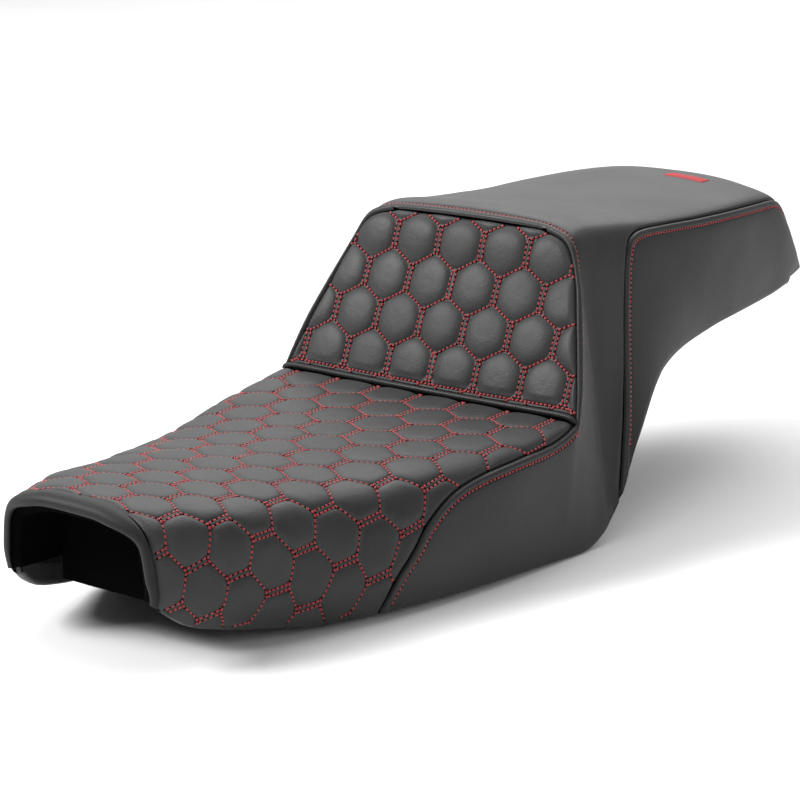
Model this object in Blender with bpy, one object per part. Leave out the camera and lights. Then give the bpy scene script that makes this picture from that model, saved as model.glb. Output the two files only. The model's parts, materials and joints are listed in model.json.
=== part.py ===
"""Two-up motorcycle seat with a stepped backrest.

Frame: +Z up, -Y towards the nose, +X is the rider's left, origin at the bottom
centre of the body. The outer skin is one lofted surface; every
layer (covers, foam, pan) is built from it or from the pan's own loft, so the
layers nest with known gaps.
"""
import bpy
import bmesh
import math
import numpy as np
from mathutils import Vector, Matrix

for ob in list(bpy.data.objects):
    bpy.data.objects.remove(ob, do_unlink=True)

# ------------------------------------------------------------------ driving sizes
MM = 0.001
COVER_T = 1.5        # vinyl with its scrim backing
FOAM_DEPTH = 3.8     # foam surface below the outer skin, under the quilting's wadding
PAN_T = 3.0          # moulded shell
PAN_GAP = 1.2        # foam to pan
SEAM_HALF = 0.5      # each panel stops this far from a seam line
WELT_R = 2.6         # cord in the crease of the step
BUMPER_D, BUMPER_H, STEM_D = 24.0, 11.0, 7.0
RIVET_HEAD, RIVET_SHANK = 10.0, 4.8
TAB_W, TAB_T, TAB_TOP = 34.0, 3.0, 134.6
TAB_END = 419.0
SCREW_Y, SCREW_D, SCREW_HOLE = 406.0, 6.0, 7.0
U_CREASE, U_END = 369.0, 895.0
Y_CENTRE, Z_LIFT = 20.0, 0.26     # brings the body's bottom centre to the origin

# Stations along the seat, millimetres. Each row: distance along the top line,
# top centre (y, z), shoulder corner (x, y, z), bottom edge (x, y, z), rounding
# of the corner towards the top and towards the side, crown, side bulge.
DRIVER = [
    (0, -368, 103.3, 64, -367, 93.5, 66, -364, 42, .80, .60, 1.2, 3),
    (25, -343, 102, 75, -342, 95, 72, -342, 26, .80, .60, 1.2, 6),
    (50, -318, 101, 86, -317, 95, 79, -317, 18, .80, .60, 1.2, 8),
    (85, -283, 99, 92, -282, 92, 89, -280, 11, .75, .55, 1.2, 8),
    (130, -238, 97, 99, -237, 90, 103, -236, 6, .70, .50, 1.2, 8),
    (180, -188, 95, 109, -187, 89, 118, -186, 6, .65, .45, 1.1, 6),
    (235, -133, 95, 122, -132, 91, 128, -133, 5.5, .55, .40, 1.0, 4),
    (290, -79, 96, 134, -78, 94, 133, -84, 4.5, .40, .32, 1.0, 3),
    (369, -4, 99, 138, -4, 100, 135, -22, 2, .18, .25, 1.0, 1)]
REAR = [
    (369, -4, 99, 138, -4, 100, 135, -22, 2, .18, .25, 1.0, 1),
    (415, 12, 140, 127, 14, 141, 136, 10, 1, .15, .20, 1.0, 2),
    (460, 31, 186, 111, 34, 185, 136, 32, 8, .16, .20, 1.0, 0),
    (492, 44, 220, 98, 48, 218, 135, 44, 17, .28, .25, 1.0, -2),
    (510, 57, 229, 96, 62, 223, 135, 53, 27, .32, .25, 1.0, -2),
    (560, 105, 226, 97, 108, 220, 132, 82, 68, .32, .25, 1.0, -4),
    (620, 165, 223, 100, 168, 215, 118, 138, 110, .32, .25, 1.0, -2),
    (700, 245, 223.5, 103, 248, 213, 105, 222, 123, .35, .25, 1.0, 1),
    (760, 303, 223.5, 101, 305, 212, 100, 280, 127, .38, .30, 1.0, 2),
    (800, 336, 218.5, 99, 333, 208, 98, 315, 130, .42, .30, 1.0, 2),
    (835, 358, 197, 97, 353, 191, 97, 338, 133, .50, .35, 1.0, 2),
    (865, 377, 171, 94, 373, 167, 96, 352, 136, .60, .40, 1.0, 1),
    (895, 394, 143, 88, 395, 143, 94, 362, 138, .70, .50, 1.0, 0)]
# The pan's own loft, on the same distances: crown line, shoulder and rim.
PAN = [
    (0, -366, 95.5, 56, -366, 88.5, 61.5, -363, 41, .75, .5, 1.2, 2),
    (25, -342, 90.5, 64, -342, 84, 67.5, -342, 25, .75, .5, 1.2, 3),
    (50, -317, 86, 72, -317, 78, 74.5, -317, 17, .70, .5, 1.2, 4),
    (85, -281, 76, 78, -281, 67, 84.5, -280, 10, .65, .5, 1.1, 3),
    (130, -236, 66, 87, -236, 57, 98.5, -236, 5, .6, .5, 1.1, 2),
    (180, -186, 57, 99, -186, 50, 113.5, -186, 5, .5, .4, 1.0, 1),
    (235, -132, 52, 110, -132, 47, 123.5, -133, 4.5, .4, .4, 1.0, 1),
    (290, -80, 50, 117, -80, 46, 128.5, -84, 3.5, .35, .4, 1.0, 1),
    (369, -20, 53, 121, -22, 48, 130.5, -22, 1.0, .3, .3, 1.0, 1),
    (415, 10, 68, 119, 10, 62, 130.0, 10, 0.0, .3, .3, 1.0, 1),
    (460, 34, 88, 111, 34, 82, 128.0, 32, 7, .3, .3, 1.0, -1),
    (492, 50, 104, 105, 49, 97, 126.5, 44, 16, .3, .3, 1.0, -2),
    (510, 62, 114, 104, 60, 106, 126.0, 53, 26, .3, .3, 1.0, -3),
    (560, 102, 136, 103, 100, 126, 124.5, 82, 67, .3, .3, 1.0, -3),
    (620, 157, 150, 99, 154, 141, 111.5, 138, 109, .35, .3, 1.0, -1),
    (700, 235, 158, 93, 234, 150, 100.5, 222, 122, .4, .3, 1.0, 0),
    (760, 292, 159, 89, 290, 152, 95.5, 280, 126, .4, .3, 1.0, 0),
    (800, 324, 158, 87, 322, 151, 93.5, 314, 129, .4, .3, 1.0, 0),
    (835, 348, 154, 85, 345, 148, 92.0, 336, 132, .45, .35, 1.0, 0),
    (865, 368, 147.5, 84, 363, 143, 90.5, 349, 135, .5, .4, 1.0, 0),
    (895, 387, 141, 82, 388, 140, 89, 358, 137, .7, .5, 1.0, 0)]
# Seam lines on the left half, as (distance along, place across 0..1).
SEAM_DRIVER = [(165, 1.0), (177, .916), (193, .829), (210, .722), (235, .622),
               (260, .578), (301, .562), (335, .570), (355, .545), (369, .488)]
SEAM_BACK = [(369, .488), (385, .462), (411, .42), (438, .41), (462, .43),
             (478, .45), (486, .40), (491, .32), (496, .22)]
SEAM_REAR = [(512, 1.0), (528, .977), (544, .940), (552, .895), (559, .80),
             (563, .68), (568, .595), (578, .535), (595, .505), (622, .500),
             (662, .512), (706, .515), (759, .508), (800, .490), (845, .455),
             (895, .400)]


def follow(xs, ys, x):
    """Smooth curve through the stations, monotone where the stations are."""
    xs = np.asarray(xs, float)
    ys = np.asarray(ys, float)
    x = np.atleast_1d(np.asarray(x, float))
    if ys.ndim == 1:
        return follow(xs, ys[:, None], x)[:, 0]
    h = np.diff(xs)
    d = np.diff(ys, axis=0) / h[:, None]
    m = np.zeros_like(ys)
    m[0], m[-1] = d[0], d[-1]
    for i in range(1, len(xs) - 1):
        a, b = d[i - 1], d[i]
        w1, w2 = 2 * h[i] + h[i - 1], h[i] + 2 * h[i - 1]
        sa, sb = np.where(a == 0, 1, a), np.where(b == 0, 1, b)
        harm = np.where(a * b > 0, (w1 + w2) / (w1 / sa + w2 / sb), 0)
        mean = (h[i] * a + h[i - 1] * b) / (h[i] + h[i - 1])
        m[i] = np.where(a * b > 0, 0.5 * harm + 0.5 * mean, 0.35 * mean)
    k = np.clip(np.searchsorted(xs, x, side='right') - 1, 0, len(xs) - 2)
    t = ((x - xs[k]) / h[k])[:, None]
    hh = h[k][:, None]
    return ((2 * t ** 3 - 3 * t ** 2 + 1) * ys[k] + (t ** 3 - 2 * t ** 2 + t) * hh * m[k]
            + (-2 * t ** 3 + 3 * t ** 2) * ys[k + 1] + (t ** 3 - t ** 2) * hh * m[k + 1])


def spline_weights(n, v):
    """Clamped cubic B-spline basis for n control points at places v."""
    kn = np.concatenate([[0] * 4, np.arange(1, n - 3) / (n - 3), [1] * 4]).astype(float)
    v = np.clip(v, 0, 1 - 1e-9)
    w = np.array([((v >= kn[i]) & (v < kn[i + 1])).astype(float) for i in range(len(kn) - 1)])
    for p in range(1, 4):
        nw = np.zeros((len(kn) - 1 - p, len(v)))
        for i in range(len(kn) - 1 - p):
            a, c = kn[i + p] - kn[i], kn[i + p + 1] - kn[i + 1]
            if a > 0:
                nw[i] += (v - kn[i]) / a * w[i]
            if c > 0:
                nw[i] += (kn[i + p + 1] - v) / c * w[i + 1]
        w = nw
    return w


def section_polygon(ch):
    ty, tz, qx, qy, qz, bx, by, bz, rt, rs, cr, bu = ch.T
    o = 0 * ty
    top = np.stack([o, ty, tz], 1)
    cor = np.stack([qx, qy, qz], 1)
    bot = np.stack([bx, by, bz], 1)
    p1 = top + np.stack([0.38 * qx, o, o], 1)
    run = cor - (top + np.stack([0.30 * qx, o, o], 1) * cr[:, None])
    qa = cor - run * rt[:, None]
    drop = bot - cor
    qb = cor + drop * rs[:, None]
    p3 = cor + drop * (0.5 + 0.5 * rs)[:, None]
    p3[:, 0] += bu
    qb[:, 0] += bu * 0.5
    return np.stack([top, p1, qa, cor, qb, p3, bot], 1)


ALL = np.array(DRIVER + REAR[1:], float)
DRV, RER, PANS = np.array(DRIVER, float), np.array(REAR, float), np.array(PAN, float)


def channels(u, rear):
    tab = RER if rear else DRV
    ch = follow(tab[:, 0], tab[:, 1:], u)
    smooth = follow(ALL[:, 0], ALL[:, 1:], u)
    for c in (5, 6, 7, 9, 10, 11):       # the side wall runs smoothly past the crease
        ch[:, c] = smooth[:, c]
    return ch


def skin_point(u, v, rear):
    """Outer skin at distance u, place v (negative v is the right half), mm."""
    u = np.atleast_1d(np.asarray(u, float))
    v = np.atleast_1d(np.asarray(v, float))
    poly = section_polygon(channels(u, rear))
    w = spline_weights(7, np.abs(v))
    p = np.einsum('ik,kid->kd', w, poly)
    p[:, 0] *= np.where(v < 0, -1, 1)
    return p


def pan_point(u, v):
    u = np.atleast_1d(np.asarray(u, float))
    v = np.atleast_1d(np.asarray(v, float))
    poly = section_polygon(follow(PANS[:, 0], PANS[:, 1:], u))
    w = spline_weights(7, np.abs(v))
    p = np.einsum('ik,kid->kd', w, poly)
    p[:, 0] *= np.where(v < 0, -1, 1)
    return p


def normal_of(fn, u, v, lo, hi):
    e, f = 1.0, 0.004
    ua, ub = np.clip(u - e, lo, hi), np.clip(u + e, lo, hi)
    va, vb = np.clip(v - f, -1, 1), np.clip(v + f, -1, 1)
    du = fn(ub, v) - fn(ua, v)
    dv = fn(u, vb) - fn(u, va)
    n = np.cross(dv, du)
    ln = np.linalg.norm(n, axis=1, keepdims=True)
    n = n / np.where(ln < 1e-9, 1, ln)
    flip = (n @ np.array([0, 0, 1.0]) < 0) & (np.abs(v) < .25)
    if flip.any():
        n = -n
    return n


def skin(u, v, depth=0.0, rear=None):
    """Points on the skin sunk by depth along its normal."""
    u = np.asarray(u, float)
    v = np.asarray(v, float)
    if rear is None:
        rear = bool(u.mean() > U_CREASE)
    lo, hi = (U_CREASE, U_END) if rear else (0.0, U_CREASE)
    fn = lambda a, b: skin_point(a, b, rear)
    p = fn(u, v)
    if depth:
        p = p - depth * outward(fn, u, v, lo, hi, p)
    return p


def outward(fn, u, v, lo, hi, p):
    n = normal_of(fn, u, v, lo, hi)
    # the inside of the seat is towards its middle line, low down
    mid = np.stack([0 * p[:, 0], p[:, 1], 0 * p[:, 2] + 40], 1)
    s = np.sign(((p - mid) * n).sum(1))
    return n * np.where(s == 0, 1, s)[:, None]


def pan_surface(u, v, depth=0.0):
    u = np.asarray(u, float)
    v = np.asarray(v, float)
    p = pan_point(u, v)
    if depth:
        n = normal_of(pan_point, u, v, 0.0, U_END)
        mid = np.stack([0 * p[:, 0], p[:, 1], 0 * p[:, 2] - 30], 1)
        s = np.sign(((p - mid) * n).sum(1))
        p = p - depth * n * np.where(s == 0, 1, s)[:, None]
    return p


# ------------------------------------------------------------------ materials
def material(name, rgb, rough, metal=0.0):
    m = bpy.data.materials.new(name)
    m.use_nodes = True
    b = m.node_tree.nodes['Principled BSDF']
    b.inputs['Base Color'].default_value = (*rgb, 1)
    b.inputs['Roughness'].default_value = rough
    b.inputs['Metallic'].default_value = metal
    m.diffuse_color = (*rgb, 1)
    return m


VINYL = material('black_vinyl', (.030, .030, .031), .48)
QUILT = material('quilted_vinyl', (.036, .036, .037), .46)
CORD = material('welt_vinyl', (.020, .020, .021), .42)
FOAM = material('moulded_foam', (.55, .50, .38), .95)
PLASTIC = material('pan_plastic', (.012, .012, .013), .60)
STEEL = material('zinc_steel', (.62, .62, .60), .38, 1.0)
RUBBER = material('black_rubber', (.016, .016, .016), .80)
LABEL = material('red_label', (.45, .02, .03), .70)


def finish(bm, name, mat, smooth=True, flat_angle=40):
    bmesh.ops.recalc_face_normals(bm, faces=bm.faces)
    me = bpy.data.meshes.new(name)
    bm.to_mesh(me)
    bm.free()
    ob = bpy.data.objects.new(name, me)
    bpy.context.collection.objects.link(ob)
    me.materials.append(mat)
    if smooth:
        me.shade_smooth()
        me.set_sharp_from_angle(angle=math.radians(flat_angle))
    return ob


def shell(outer, inner, quads, name, mat):
    """Outer and inner points over the same quads, closed along the free edges."""
    bm = bmesh.new()
    a = [bm.verts.new(Vector(p) * MM) for p in outer]
    b = [bm.verts.new(Vector(p) * MM) for p in inner]
    uses = {}
    for q in quads:
        bm.faces.new([a[i] for i in q])
        bm.faces.new([b[i] for i in reversed(q)])
        for i, j in zip(q, q[1:] + q[:1]):
            uses.setdefault((min(i, j), max(i, j)), []).append((i, j))
    for pair in uses.values():
        if len(pair) == 1:
            i, j = pair[0]
            bm.faces.new((a[j], a[i], b[i], b[j]))
    bmesh.ops.recalc_face_normals(bm, faces=bm.faces)
    return finish(bm, name, mat, flat_angle=50)


def grid_quads(nr, nc):
    return [(r * nc + c, r * nc + c + 1, (r + 1) * nc + c + 1, (r + 1) * nc + c)
            for r in range(nr - 1) for c in range(nc - 1)]


def panel(fn, us, vs_of, t, name, mat, lift=0.0):
    """Thick panel over a grid of places on a surface fn(u, v, depth)."""
    outer, inner, nc = [], [], 0
    for u in us:
        v = np.asarray(vs_of(u), float)
        nc = len(v)
        uu = np.full(nc, float(u))
        outer += list(fn(uu, v, lift))
        inner += list(fn(uu, v, lift + t))
    return shell(outer, inner, grid_quads(len(us), nc), name, mat)


def front_skin(u, v, d):
    return skin(u, v, d, False)


def rear_skin(u, v, d):
    return skin(u, v, d, True)


def loft_solid(rings, name, mat):
    """Closed rings of equal length bridged into one body with end caps.

    Each ring is an outer run followed by an inner run back, so the cap is a
    strip of quads between the two runs."""
    bm = bmesh.new()
    vs = [[bm.verts.new(Vector(p) * MM) for p in r] for r in rings]
    n = len(vs[0])
    for a, b in zip(vs[:-1], vs[1:]):
        for i in range(n):
            j = (i + 1) % n
            bm.faces.new((a[i], a[j], b[j], b[i]))
    h = n // 2
    for r in (vs[0], vs[-1]):
        for i in range(h - 1):
            bm.faces.new((r[i], r[i + 1], r[n - 2 - i], r[n - 1 - i]))
    bmesh.ops.recalc_face_normals(bm, faces=bm.faces)
    return finish(bm, name, mat, flat_angle=50)


def turned(profile, name, mat, at, axis=(0, 0, 1), seg=14):
    """Solid of revolution from (radius, height) pairs, closed on its axis."""
    bm = bmesh.new()
    rows = []
    for r, z in profile:
        if r <= 1e-6:
            rows.append([bm.verts.new((0, 0, z * MM))])
        else:
            rows.append([bm.verts.new((r * MM * math.cos(2 * math.pi * k / seg),
                                       r * MM * math.sin(2 * math.pi * k / seg), z * MM))
                         for k in range(seg)])
    for a, b in zip(rows[:-1], rows[1:]):
        for k in range(seg):
            j = (k + 1) % seg
            if len(a) == 1:
                bm.faces.new((a[0], b[k], b[j]))
            elif len(b) == 1:
                bm.faces.new((a[k], a[j], b[0]))
            else:
                bm.faces.new((a[k], a[j], b[j], b[k]))
    ob = finish(bm, name, mat, flat_angle=35)
    q = Vector((0, 0, 1)).rotation_difference(Vector(axis))
    ob.rotation_mode = 'QUATERNION'
    ob.rotation_quaternion = q
    ob.location = Vector(at) * MM
    return ob


def cutter(radius, length, at, axis=(0, 0, 1), seg=14):
    bm = bmesh.new()
    bmesh.ops.create_cone(bm, cap_ends=True, segments=seg, radius1=radius * MM,
                          radius2=radius * MM, depth=length * MM)
    me = bpy.data.meshes.new('hole_tool')
    bm.to_mesh(me)
    bm.free()
    ob = bpy.data.objects.new('hole_tool', me)
    bpy.context.collection.objects.link(ob)
    ob.rotation_mode = 'QUATERNION'
    ob.rotation_quaternion = Vector((0, 0, 1)).rotation_difference(Vector(axis))
    ob.location = Vector(at) * MM
    ob.hide_render = True
    ob.display_type = 'WIRE'
    return ob


def cut(ob, tool):
    m = ob.modifiers.new('hole', 'BOOLEAN')
    m.operation = 'DIFFERENCE'
    m.solver = 'EXACT'
    m.object = tool


# ------------------------------------------------------------------ grids
V_FULL = [0, .20, .34, .42, .48, .54, .61, .70, .80, .90, 1.0]
U_DRV = [6, 25, 50, 80, 115, 150, 190, 240, 300, 345, 366]
U_STEP = [372, 395, 420, 445, 470, 487, 498]
U_PAS = [504, 520, 540, 560, 585, 620, 670, 730, 780, 815, 845, 870, 889]


def across(vmax=1.0):
    half = [x * vmax for x in V_FULL]
    return np.array([-x for x in reversed(half[1:])] + half)


def foam(name, us, rear, vmax=.93):
    rings = []
    half = V_FULL[:-1] + [vmax]
    vv = np.array([-x for x in reversed(half[1:])] + half)
    for u in us:
        uu = np.full(len(vv), float(u))
        outer = np.array([skin(np.array([float(u)]), np.array([v]), FOAM_DEPTH - .8 * (abs(v) > .85), rear)[0]
                          for v in vv])
        inner = pan_surface(uu, vv, -PAN_GAP)
        rings.append(list(outer) + list(inner[::-1]))
    return loft_solid(rings, name, FOAM)


foam('driver_foam', U_DRV, False)
foam('step_foam', U_STEP, True)
foam('passenger_foam', U_PAS, True)

# pan: one moulded shell from the nose arch to the tail
vv = across(1.0)
pan_rows = [2] + U_DRV + U_STEP + U_PAS + [U_END - 1]
seat_pan = panel(pan_surface, pan_rows, lambda u: vv, PAN_T, 'seat_pan', PLASTIC)


def seam_v(table, u):
    t = np.array(table, float)
    return float(follow(t[:, 0], t[:, 1], [u])[0])


def pulled(table, u, side):
    """Seam place at u moved off the seam by SEAM_HALF to one side."""
    a, b = seam_v(table, u - 1), seam_v(table, u + 1)
    slope = (b - a) / 2.0
    lv = 210.0
    return seam_v(table, u) + side * SEAM_HALF * math.sqrt(1 + (slope * lv) ** 2) / lv


def across_front(u):
    m = 1.0 if u <= 165.8 else min(1.0, pulled(SEAM_DRIVER, u, -1))
    half = np.array(V_FULL) * m
    return np.concatenate([-half[:0:-1], half])


# driver cover: hem to hem, ends at the side seams and short of the welt
us_d = [0.5, 6, 25, 50, 80, 115, 150, 167, 178, 190, 210, 240, 270, 300, 325, 345, 355, 365.4]
panel(front_skin, us_d, across_front, COVER_T, 'driver_cover', QUILT)

# backrest cover: from the welt up to the top seam, between its side seams
us_b = [374.0, 380, 395, 414, 438, 460, 477, 485, 490, 493, 495.0]
panel(rear_skin, us_b, lambda u: np.linspace(-pulled(SEAM_BACK, u, -1), pulled(SEAM_BACK, u, -1), 15),
      COVER_T, 'backrest_cover', QUILT)

# centre cover: both lower sides, both shoulders and the passenger top in one piece
us_side = [168, 178, 190, 210, 240, 270, 300, 325, 345, 355, 365.4, 369]
us_back = [369, 374, 380, 395, 414, 438, 460, 477, 485, 490, 493, 497.0]
us_top = [497.0, 503, 511, 520, 530, 540, 549, 556, 561, 566, 573, 583, 600, 630, 670,
          715, 760, 785, 805, 825, 845, 865, 880, 894]


def hi_v(u):
    return 1.0 if u <= 513.0 else min(1.0, pulled(SEAM_REAR, u, -1))


N_SIDE, N_TOPHALF = 6, 4
outer, inner, quads = [], [], []


def lay(pts_out, pts_in):
    k = len(outer)
    outer.extend(list(pts_out))
    inner.extend(list(pts_in))
    return list(range(k, k + len(pts_out)))


def join(a, b):
    for i in range(len(a) - 1):
        quads.append((a[i], a[i + 1], b[i + 1], b[i]))


ends = {}
for sign in (1, -1):
    prev = None
    for us, rear in ((us_side, False), (us_back[1:], True)):
        for u in us:
            lo = min(.995, pulled(SEAM_DRIVER, u, 1)) if not rear else pulled(SEAM_BACK, min(u, 495.0), 1)
            v = np.linspace(lo, hi_v(u), N_SIDE + 1) * sign
            uu = np.full(N_SIDE + 1, float(u))
            under = skin(uu, v, COVER_T, rear)
            if u == U_CREASE:
                under = (under + skin(uu, v, COVER_T, True)) / 2
            row = lay(skin(uu, v, 0.0, rear), under)
            if prev is not None:
                join(prev, row)
            prev = row
    ends[sign] = prev
# across the top: the strips' last rows are carried on, joined over the middle
split = pulled(SEAM_BACK, 495.0, 1)


def top_row(u):
    h = hi_v(u)
    inside = min(split, h * .5)
    side_v = np.linspace(inside, h, N_SIDE + 1)
    mid_v = np.linspace(-inside, inside, 2 * N_TOPHALF + 1)
    return np.concatenate([-side_v[:0:-1], mid_v, side_v[1:]])


prev = None
for k, u in enumerate(us_top):
    v = top_row(u)
    uu = np.full(len(v), float(u))
    o, n = skin(uu, v, 0.0, True), skin(uu, v, COVER_T, True)
    if k == 0:
        a, b = N_SIDE + 1, N_SIDE + 2 * N_TOPHALF
        row = ends[-1][::-1] + lay(o[a:b], n[a:b]) + ends[1]
    else:
        row = lay(o, n)
    if prev is not None:
        join(prev, row)
    prev = row
shell(outer, inner, quads, 'centre_cover', VINYL)

# rear side panels, left and right
us_r = [515, 524, 534, 543, 550, 555, 559, 563, 568, 577, 592, 620, 660, 710, 760, 795, 825, 850, 872, 894]
for sign, name in ((1, 'rear_side_panel_left'), (-1, 'rear_side_panel_right')):
    panel(rear_skin, us_r, lambda u: np.linspace(min(.997, pulled(SEAM_REAR, u, 1)), 1.0, 7) * sign,
          COVER_T, name, VINYL)

# nose binding: rolls forward and in from the cover's front edge
BIND_FWD, BIND_IN, BIND_T = 11.0, 6.5, 2.0
vb = across(1.0)
edge = skin(np.zeros(len(vb)), vb, 0.0, False)
outer, inner = [], []
for a in (12, 36, 62, 90):
    r = math.radians(a)
    for k, p in enumerate(edge):
        q0, q1 = edge[max(k - 1, 0)], edge[min(k + 1, len(edge) - 1)]
        run = Vector(q1) - Vector(q0)
        inward = Vector((-run.z, 0, run.x))
        if inward.dot(Vector((0, 0, 62)) - Vector((p[0], 0, p[2]))) < 0:
            inward = -inward
        inward.normalize()
        for store, f, g in ((outer, BIND_FWD, BIND_IN), (inner, BIND_FWD - BIND_T, BIND_IN)):
            drop = 0.0 if store is outer else BIND_T
            q = Vector(p) + Vector((0, -1, 0)) * f * math.sin(r) + inward * (drop + (g - drop) * (1 - math.cos(r)))
            if a == 90 and store is inner:
                q = Vector(p) + Vector((0, -1, 0)) * (BIND_FWD - BIND_T) + inward * g
            store.append(q)
shell(outer, inner, grid_quads(4, len(vb)), 'nose_binding', VINYL)

# welt cord lying in the crease of the step, following the seat's section
nv = 22
vw = np.linspace(-.452, .452, nv)
uw = np.full(nv, U_CREASE)
crease = skin(uw, vw, 0.0, False)
up = crease - skin(uw, vw, 1.0, False)
back = crease - skin(uw, vw, 1.0, True)
lift = up + back
lift = lift / np.linalg.norm(lift, axis=1, keepdims=True)
half_sine = np.clip((up * lift).sum(1), .4, 1)
path = [Vector(p) for p in crease + lift * ((WELT_R + .5) / half_sine)[:, None]]
bm = bmesh.new()
rings = []
for i, p in enumerate(path):
    t = (path[min(i + 1, nv - 1)] - path[max(i - 1, 0)]).normalized()
    a = t.cross(Vector((0, -1, 0))).normalized()
    b = t.cross(a).normalized()
    rings.append([bm.verts.new((p + (a * math.cos(2 * math.pi * k / 8) + b * math.sin(2 * math.pi * k / 8)) * WELT_R) * MM)
                  for k in range(8)])
for a, b in zip(rings[:-1], rings[1:]):
    for k in range(8):
        j = (k + 1) % 8
        bm.faces.new((a[k], a[j], b[j], b[k]))
bm.faces.new(rings[0][::-1])
bm.faces.new(rings[-1])
finish(bm, 'backrest_welt', CORD, flat_angle=50)

# small plain sewn label on the top near the tail
panel(rear_skin, np.linspace(744, 757, 3), lambda u: np.linspace(.04, .155, 4), 0.9, 'tail_label', LABEL, lift=-1.3)

# hem strips: the cover's turned-in edge, stapled inside the pan's rim
for sign, side in ((1, 'left'), (-1, 'right')):
    for us, part in ((U_DRV[1:], 'front'), (U_STEP[1:-1] + U_PAS[1:], 'rear')):
        panel(pan_surface, us, lambda u: np.array([.90, .985]) * sign, 1.2,
              'hem_strip_%s_%s' % (part, side), VINYL, lift=PAN_T + 1.5)


# ------------------------------------------------------------------ cross members
def pan_inner_section(y0, depth, vmax, n=9):
    """Where the sunk pan surface crosses the plane y = y0, from centre to rim."""
    us = np.linspace(2, 880, 600)
    out = []
    for v in np.linspace(0, vmax, n):
        p = pan_surface(us, np.full(len(us), v), depth)
        k = int(np.argmax(p[:, 1] >= y0))
        t = (y0 - p[k - 1, 1]) / (p[k, 1] - p[k - 1, 1])
        out.append(p[k - 1] + t * (p[k] - p[k - 1]))
    return out


def cross_member(name, y0, thickness, low_mid, low_side, vmax=.82):
    """Upright plate across the pan, moulded in one with it."""
    bm = bmesh.new()
    faces = []
    for y in (y0, y0 + thickness):
        half = pan_inner_section(y, PAN_T - 1.3, vmax)
        right = [Vector((-p[0], y, p[2])) for p in reversed(half[1:])]
        left = [Vector((p[0], y, p[2])) for p in half]
        w = half[-1][0]
        low = []
        for k in range(1, 10):
            x = w * (1 - 2 * k / 10.0)
            low.append(Vector((x, y, low_mid + (low_side - low_mid) * (x / w) ** 2)))
        faces.append([bm.verts.new(p * MM) for p in right + left + low])
    a, b = faces
    n = len(a)
    bm.faces.new(a)
    bm.faces.new(b[::-1])
    for i in range(n):
        j = (i + 1) % n
        bm.faces.new((a[j], a[i], b[i], b[j]))
    bmesh.ops.triangulate(bm, faces=[f for f in bm.faces if len(f.verts) > 4])
    ob = finish(bm, name, PLASTIC, smooth=False)
    ob.hide_render = True
    ob.display_type = 'WIRE'
    m = seat_pan.modifiers.new(name, 'BOOLEAN')
    m.operation = 'UNION'
    m.solver = 'EXACT'
    m.object = ob
    return ob


cross_member('front_bulkhead', -302.0, 3.0, 29.0, 16.0, .84)
cross_member('rib_driver', -66.0, 3.0, 32.0, 22.0)
cross_member('rib_step', 22.0, 3.0, 48.0, 34.0)
cross_member('rib_passenger', 190.0, 3.0, 138.0, 130.0)


# ------------------------------------------------------------------ hardware
def at_pan(u, v, depth):
    p = pan_surface(np.array([float(u)]), np.array([float(v)]), depth)[0]
    q = pan_surface(np.array([float(u)]), np.array([float(v)]), depth + 1.0)[0]
    return Vector(p), (Vector(q) - Vector(p)).normalized()


def strip_mesh(profile, width, name, mat, x0=0.0):
    """Bent strip: (y, z) centre line of the top face, given thickness downwards."""
    top, low = [], []
    for i, (y, z) in enumerate(profile):
        a = Vector((0,) + tuple(profile[max(i - 1, 0)]))
        b = Vector((0,) + tuple(profile[min(i + 1, len(profile) - 1)]))
        t = (b - a).normalized()
        n = Vector((0, t.z, -t.y))
        if n.z > 0:
            n = -n
        top.append(Vector((0, y, z)))
        low.append(Vector((0, y, z)) + n * TAB_T)
    loop = top + low[::-1]
    bm = bmesh.new()
    l = [bm.verts.new((p + Vector((x0 - width / 2, 0, 0))) * MM) for p in loop]
    r = [bm.verts.new((p + Vector((x0 + width / 2, 0, 0))) * MM) for p in loop]
    n = len(loop)
    h = n // 2
    for i in range(n):
        j = (i + 1) % n
        bm.faces.new((l[i], l[j], r[j], r[i]))
    for s in (l, r):
        for i in range(h - 1):
            bm.faces.new((s[i], s[i + 1], s[n - 2 - i], s[n - 1 - i]))
    return finish(bm, name, mat, smooth=False)


def rivet(name, x, y, z_face, plate_t, pan_depth):
    """Round-head rivet up through a plate into the pan above it."""
    prof = [(0, -2.4), (3.2, -2.2), (RIVET_HEAD / 2, -.4), (RIVET_HEAD / 2, 0),
            (RIVET_SHANK / 2, 0), (RIVET_SHANK / 2, plate_t + pan_depth), (0, plate_t + pan_depth)]
    return turned(prof, name, STEEL, (x, y, z_face), seg=12)


# front hook bracket: base under the pan's roof, lip reaching forward and down
base_z = float(min(pan_surface(np.array([215., 215., 262., 262.]), np.array([0., .1, 0., .1]), PAN_T)[:, 2])) - 1.6
hook = strip_mesh([(-98, base_z), (-118, base_z), (-138, base_z), (-146, base_z - 2),
                   (-151, base_z - 8), (-154, base_z - 15), (-160, base_z - 19),
                   (-172, base_z - 20), (-188, base_z - 20), (-204, base_z - 20)],
                  40.0, 'front_hook_bracket', STEEL)
for k, y in enumerate((-108.0, -130.0)):
    for x, s in ((12.0, 'left'), (-12.0, 'right')):
        tool = cutter(RIVET_SHANK / 2 + .45, 40, (x, y, base_z), seg=12)
        cut(hook, tool)
        cut(seat_pan, tool)
        rivet('front_rivet_%s_%d' % (s, k + 1), x, y, base_z - TAB_T - .35, TAB_T, 3.2)

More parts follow.
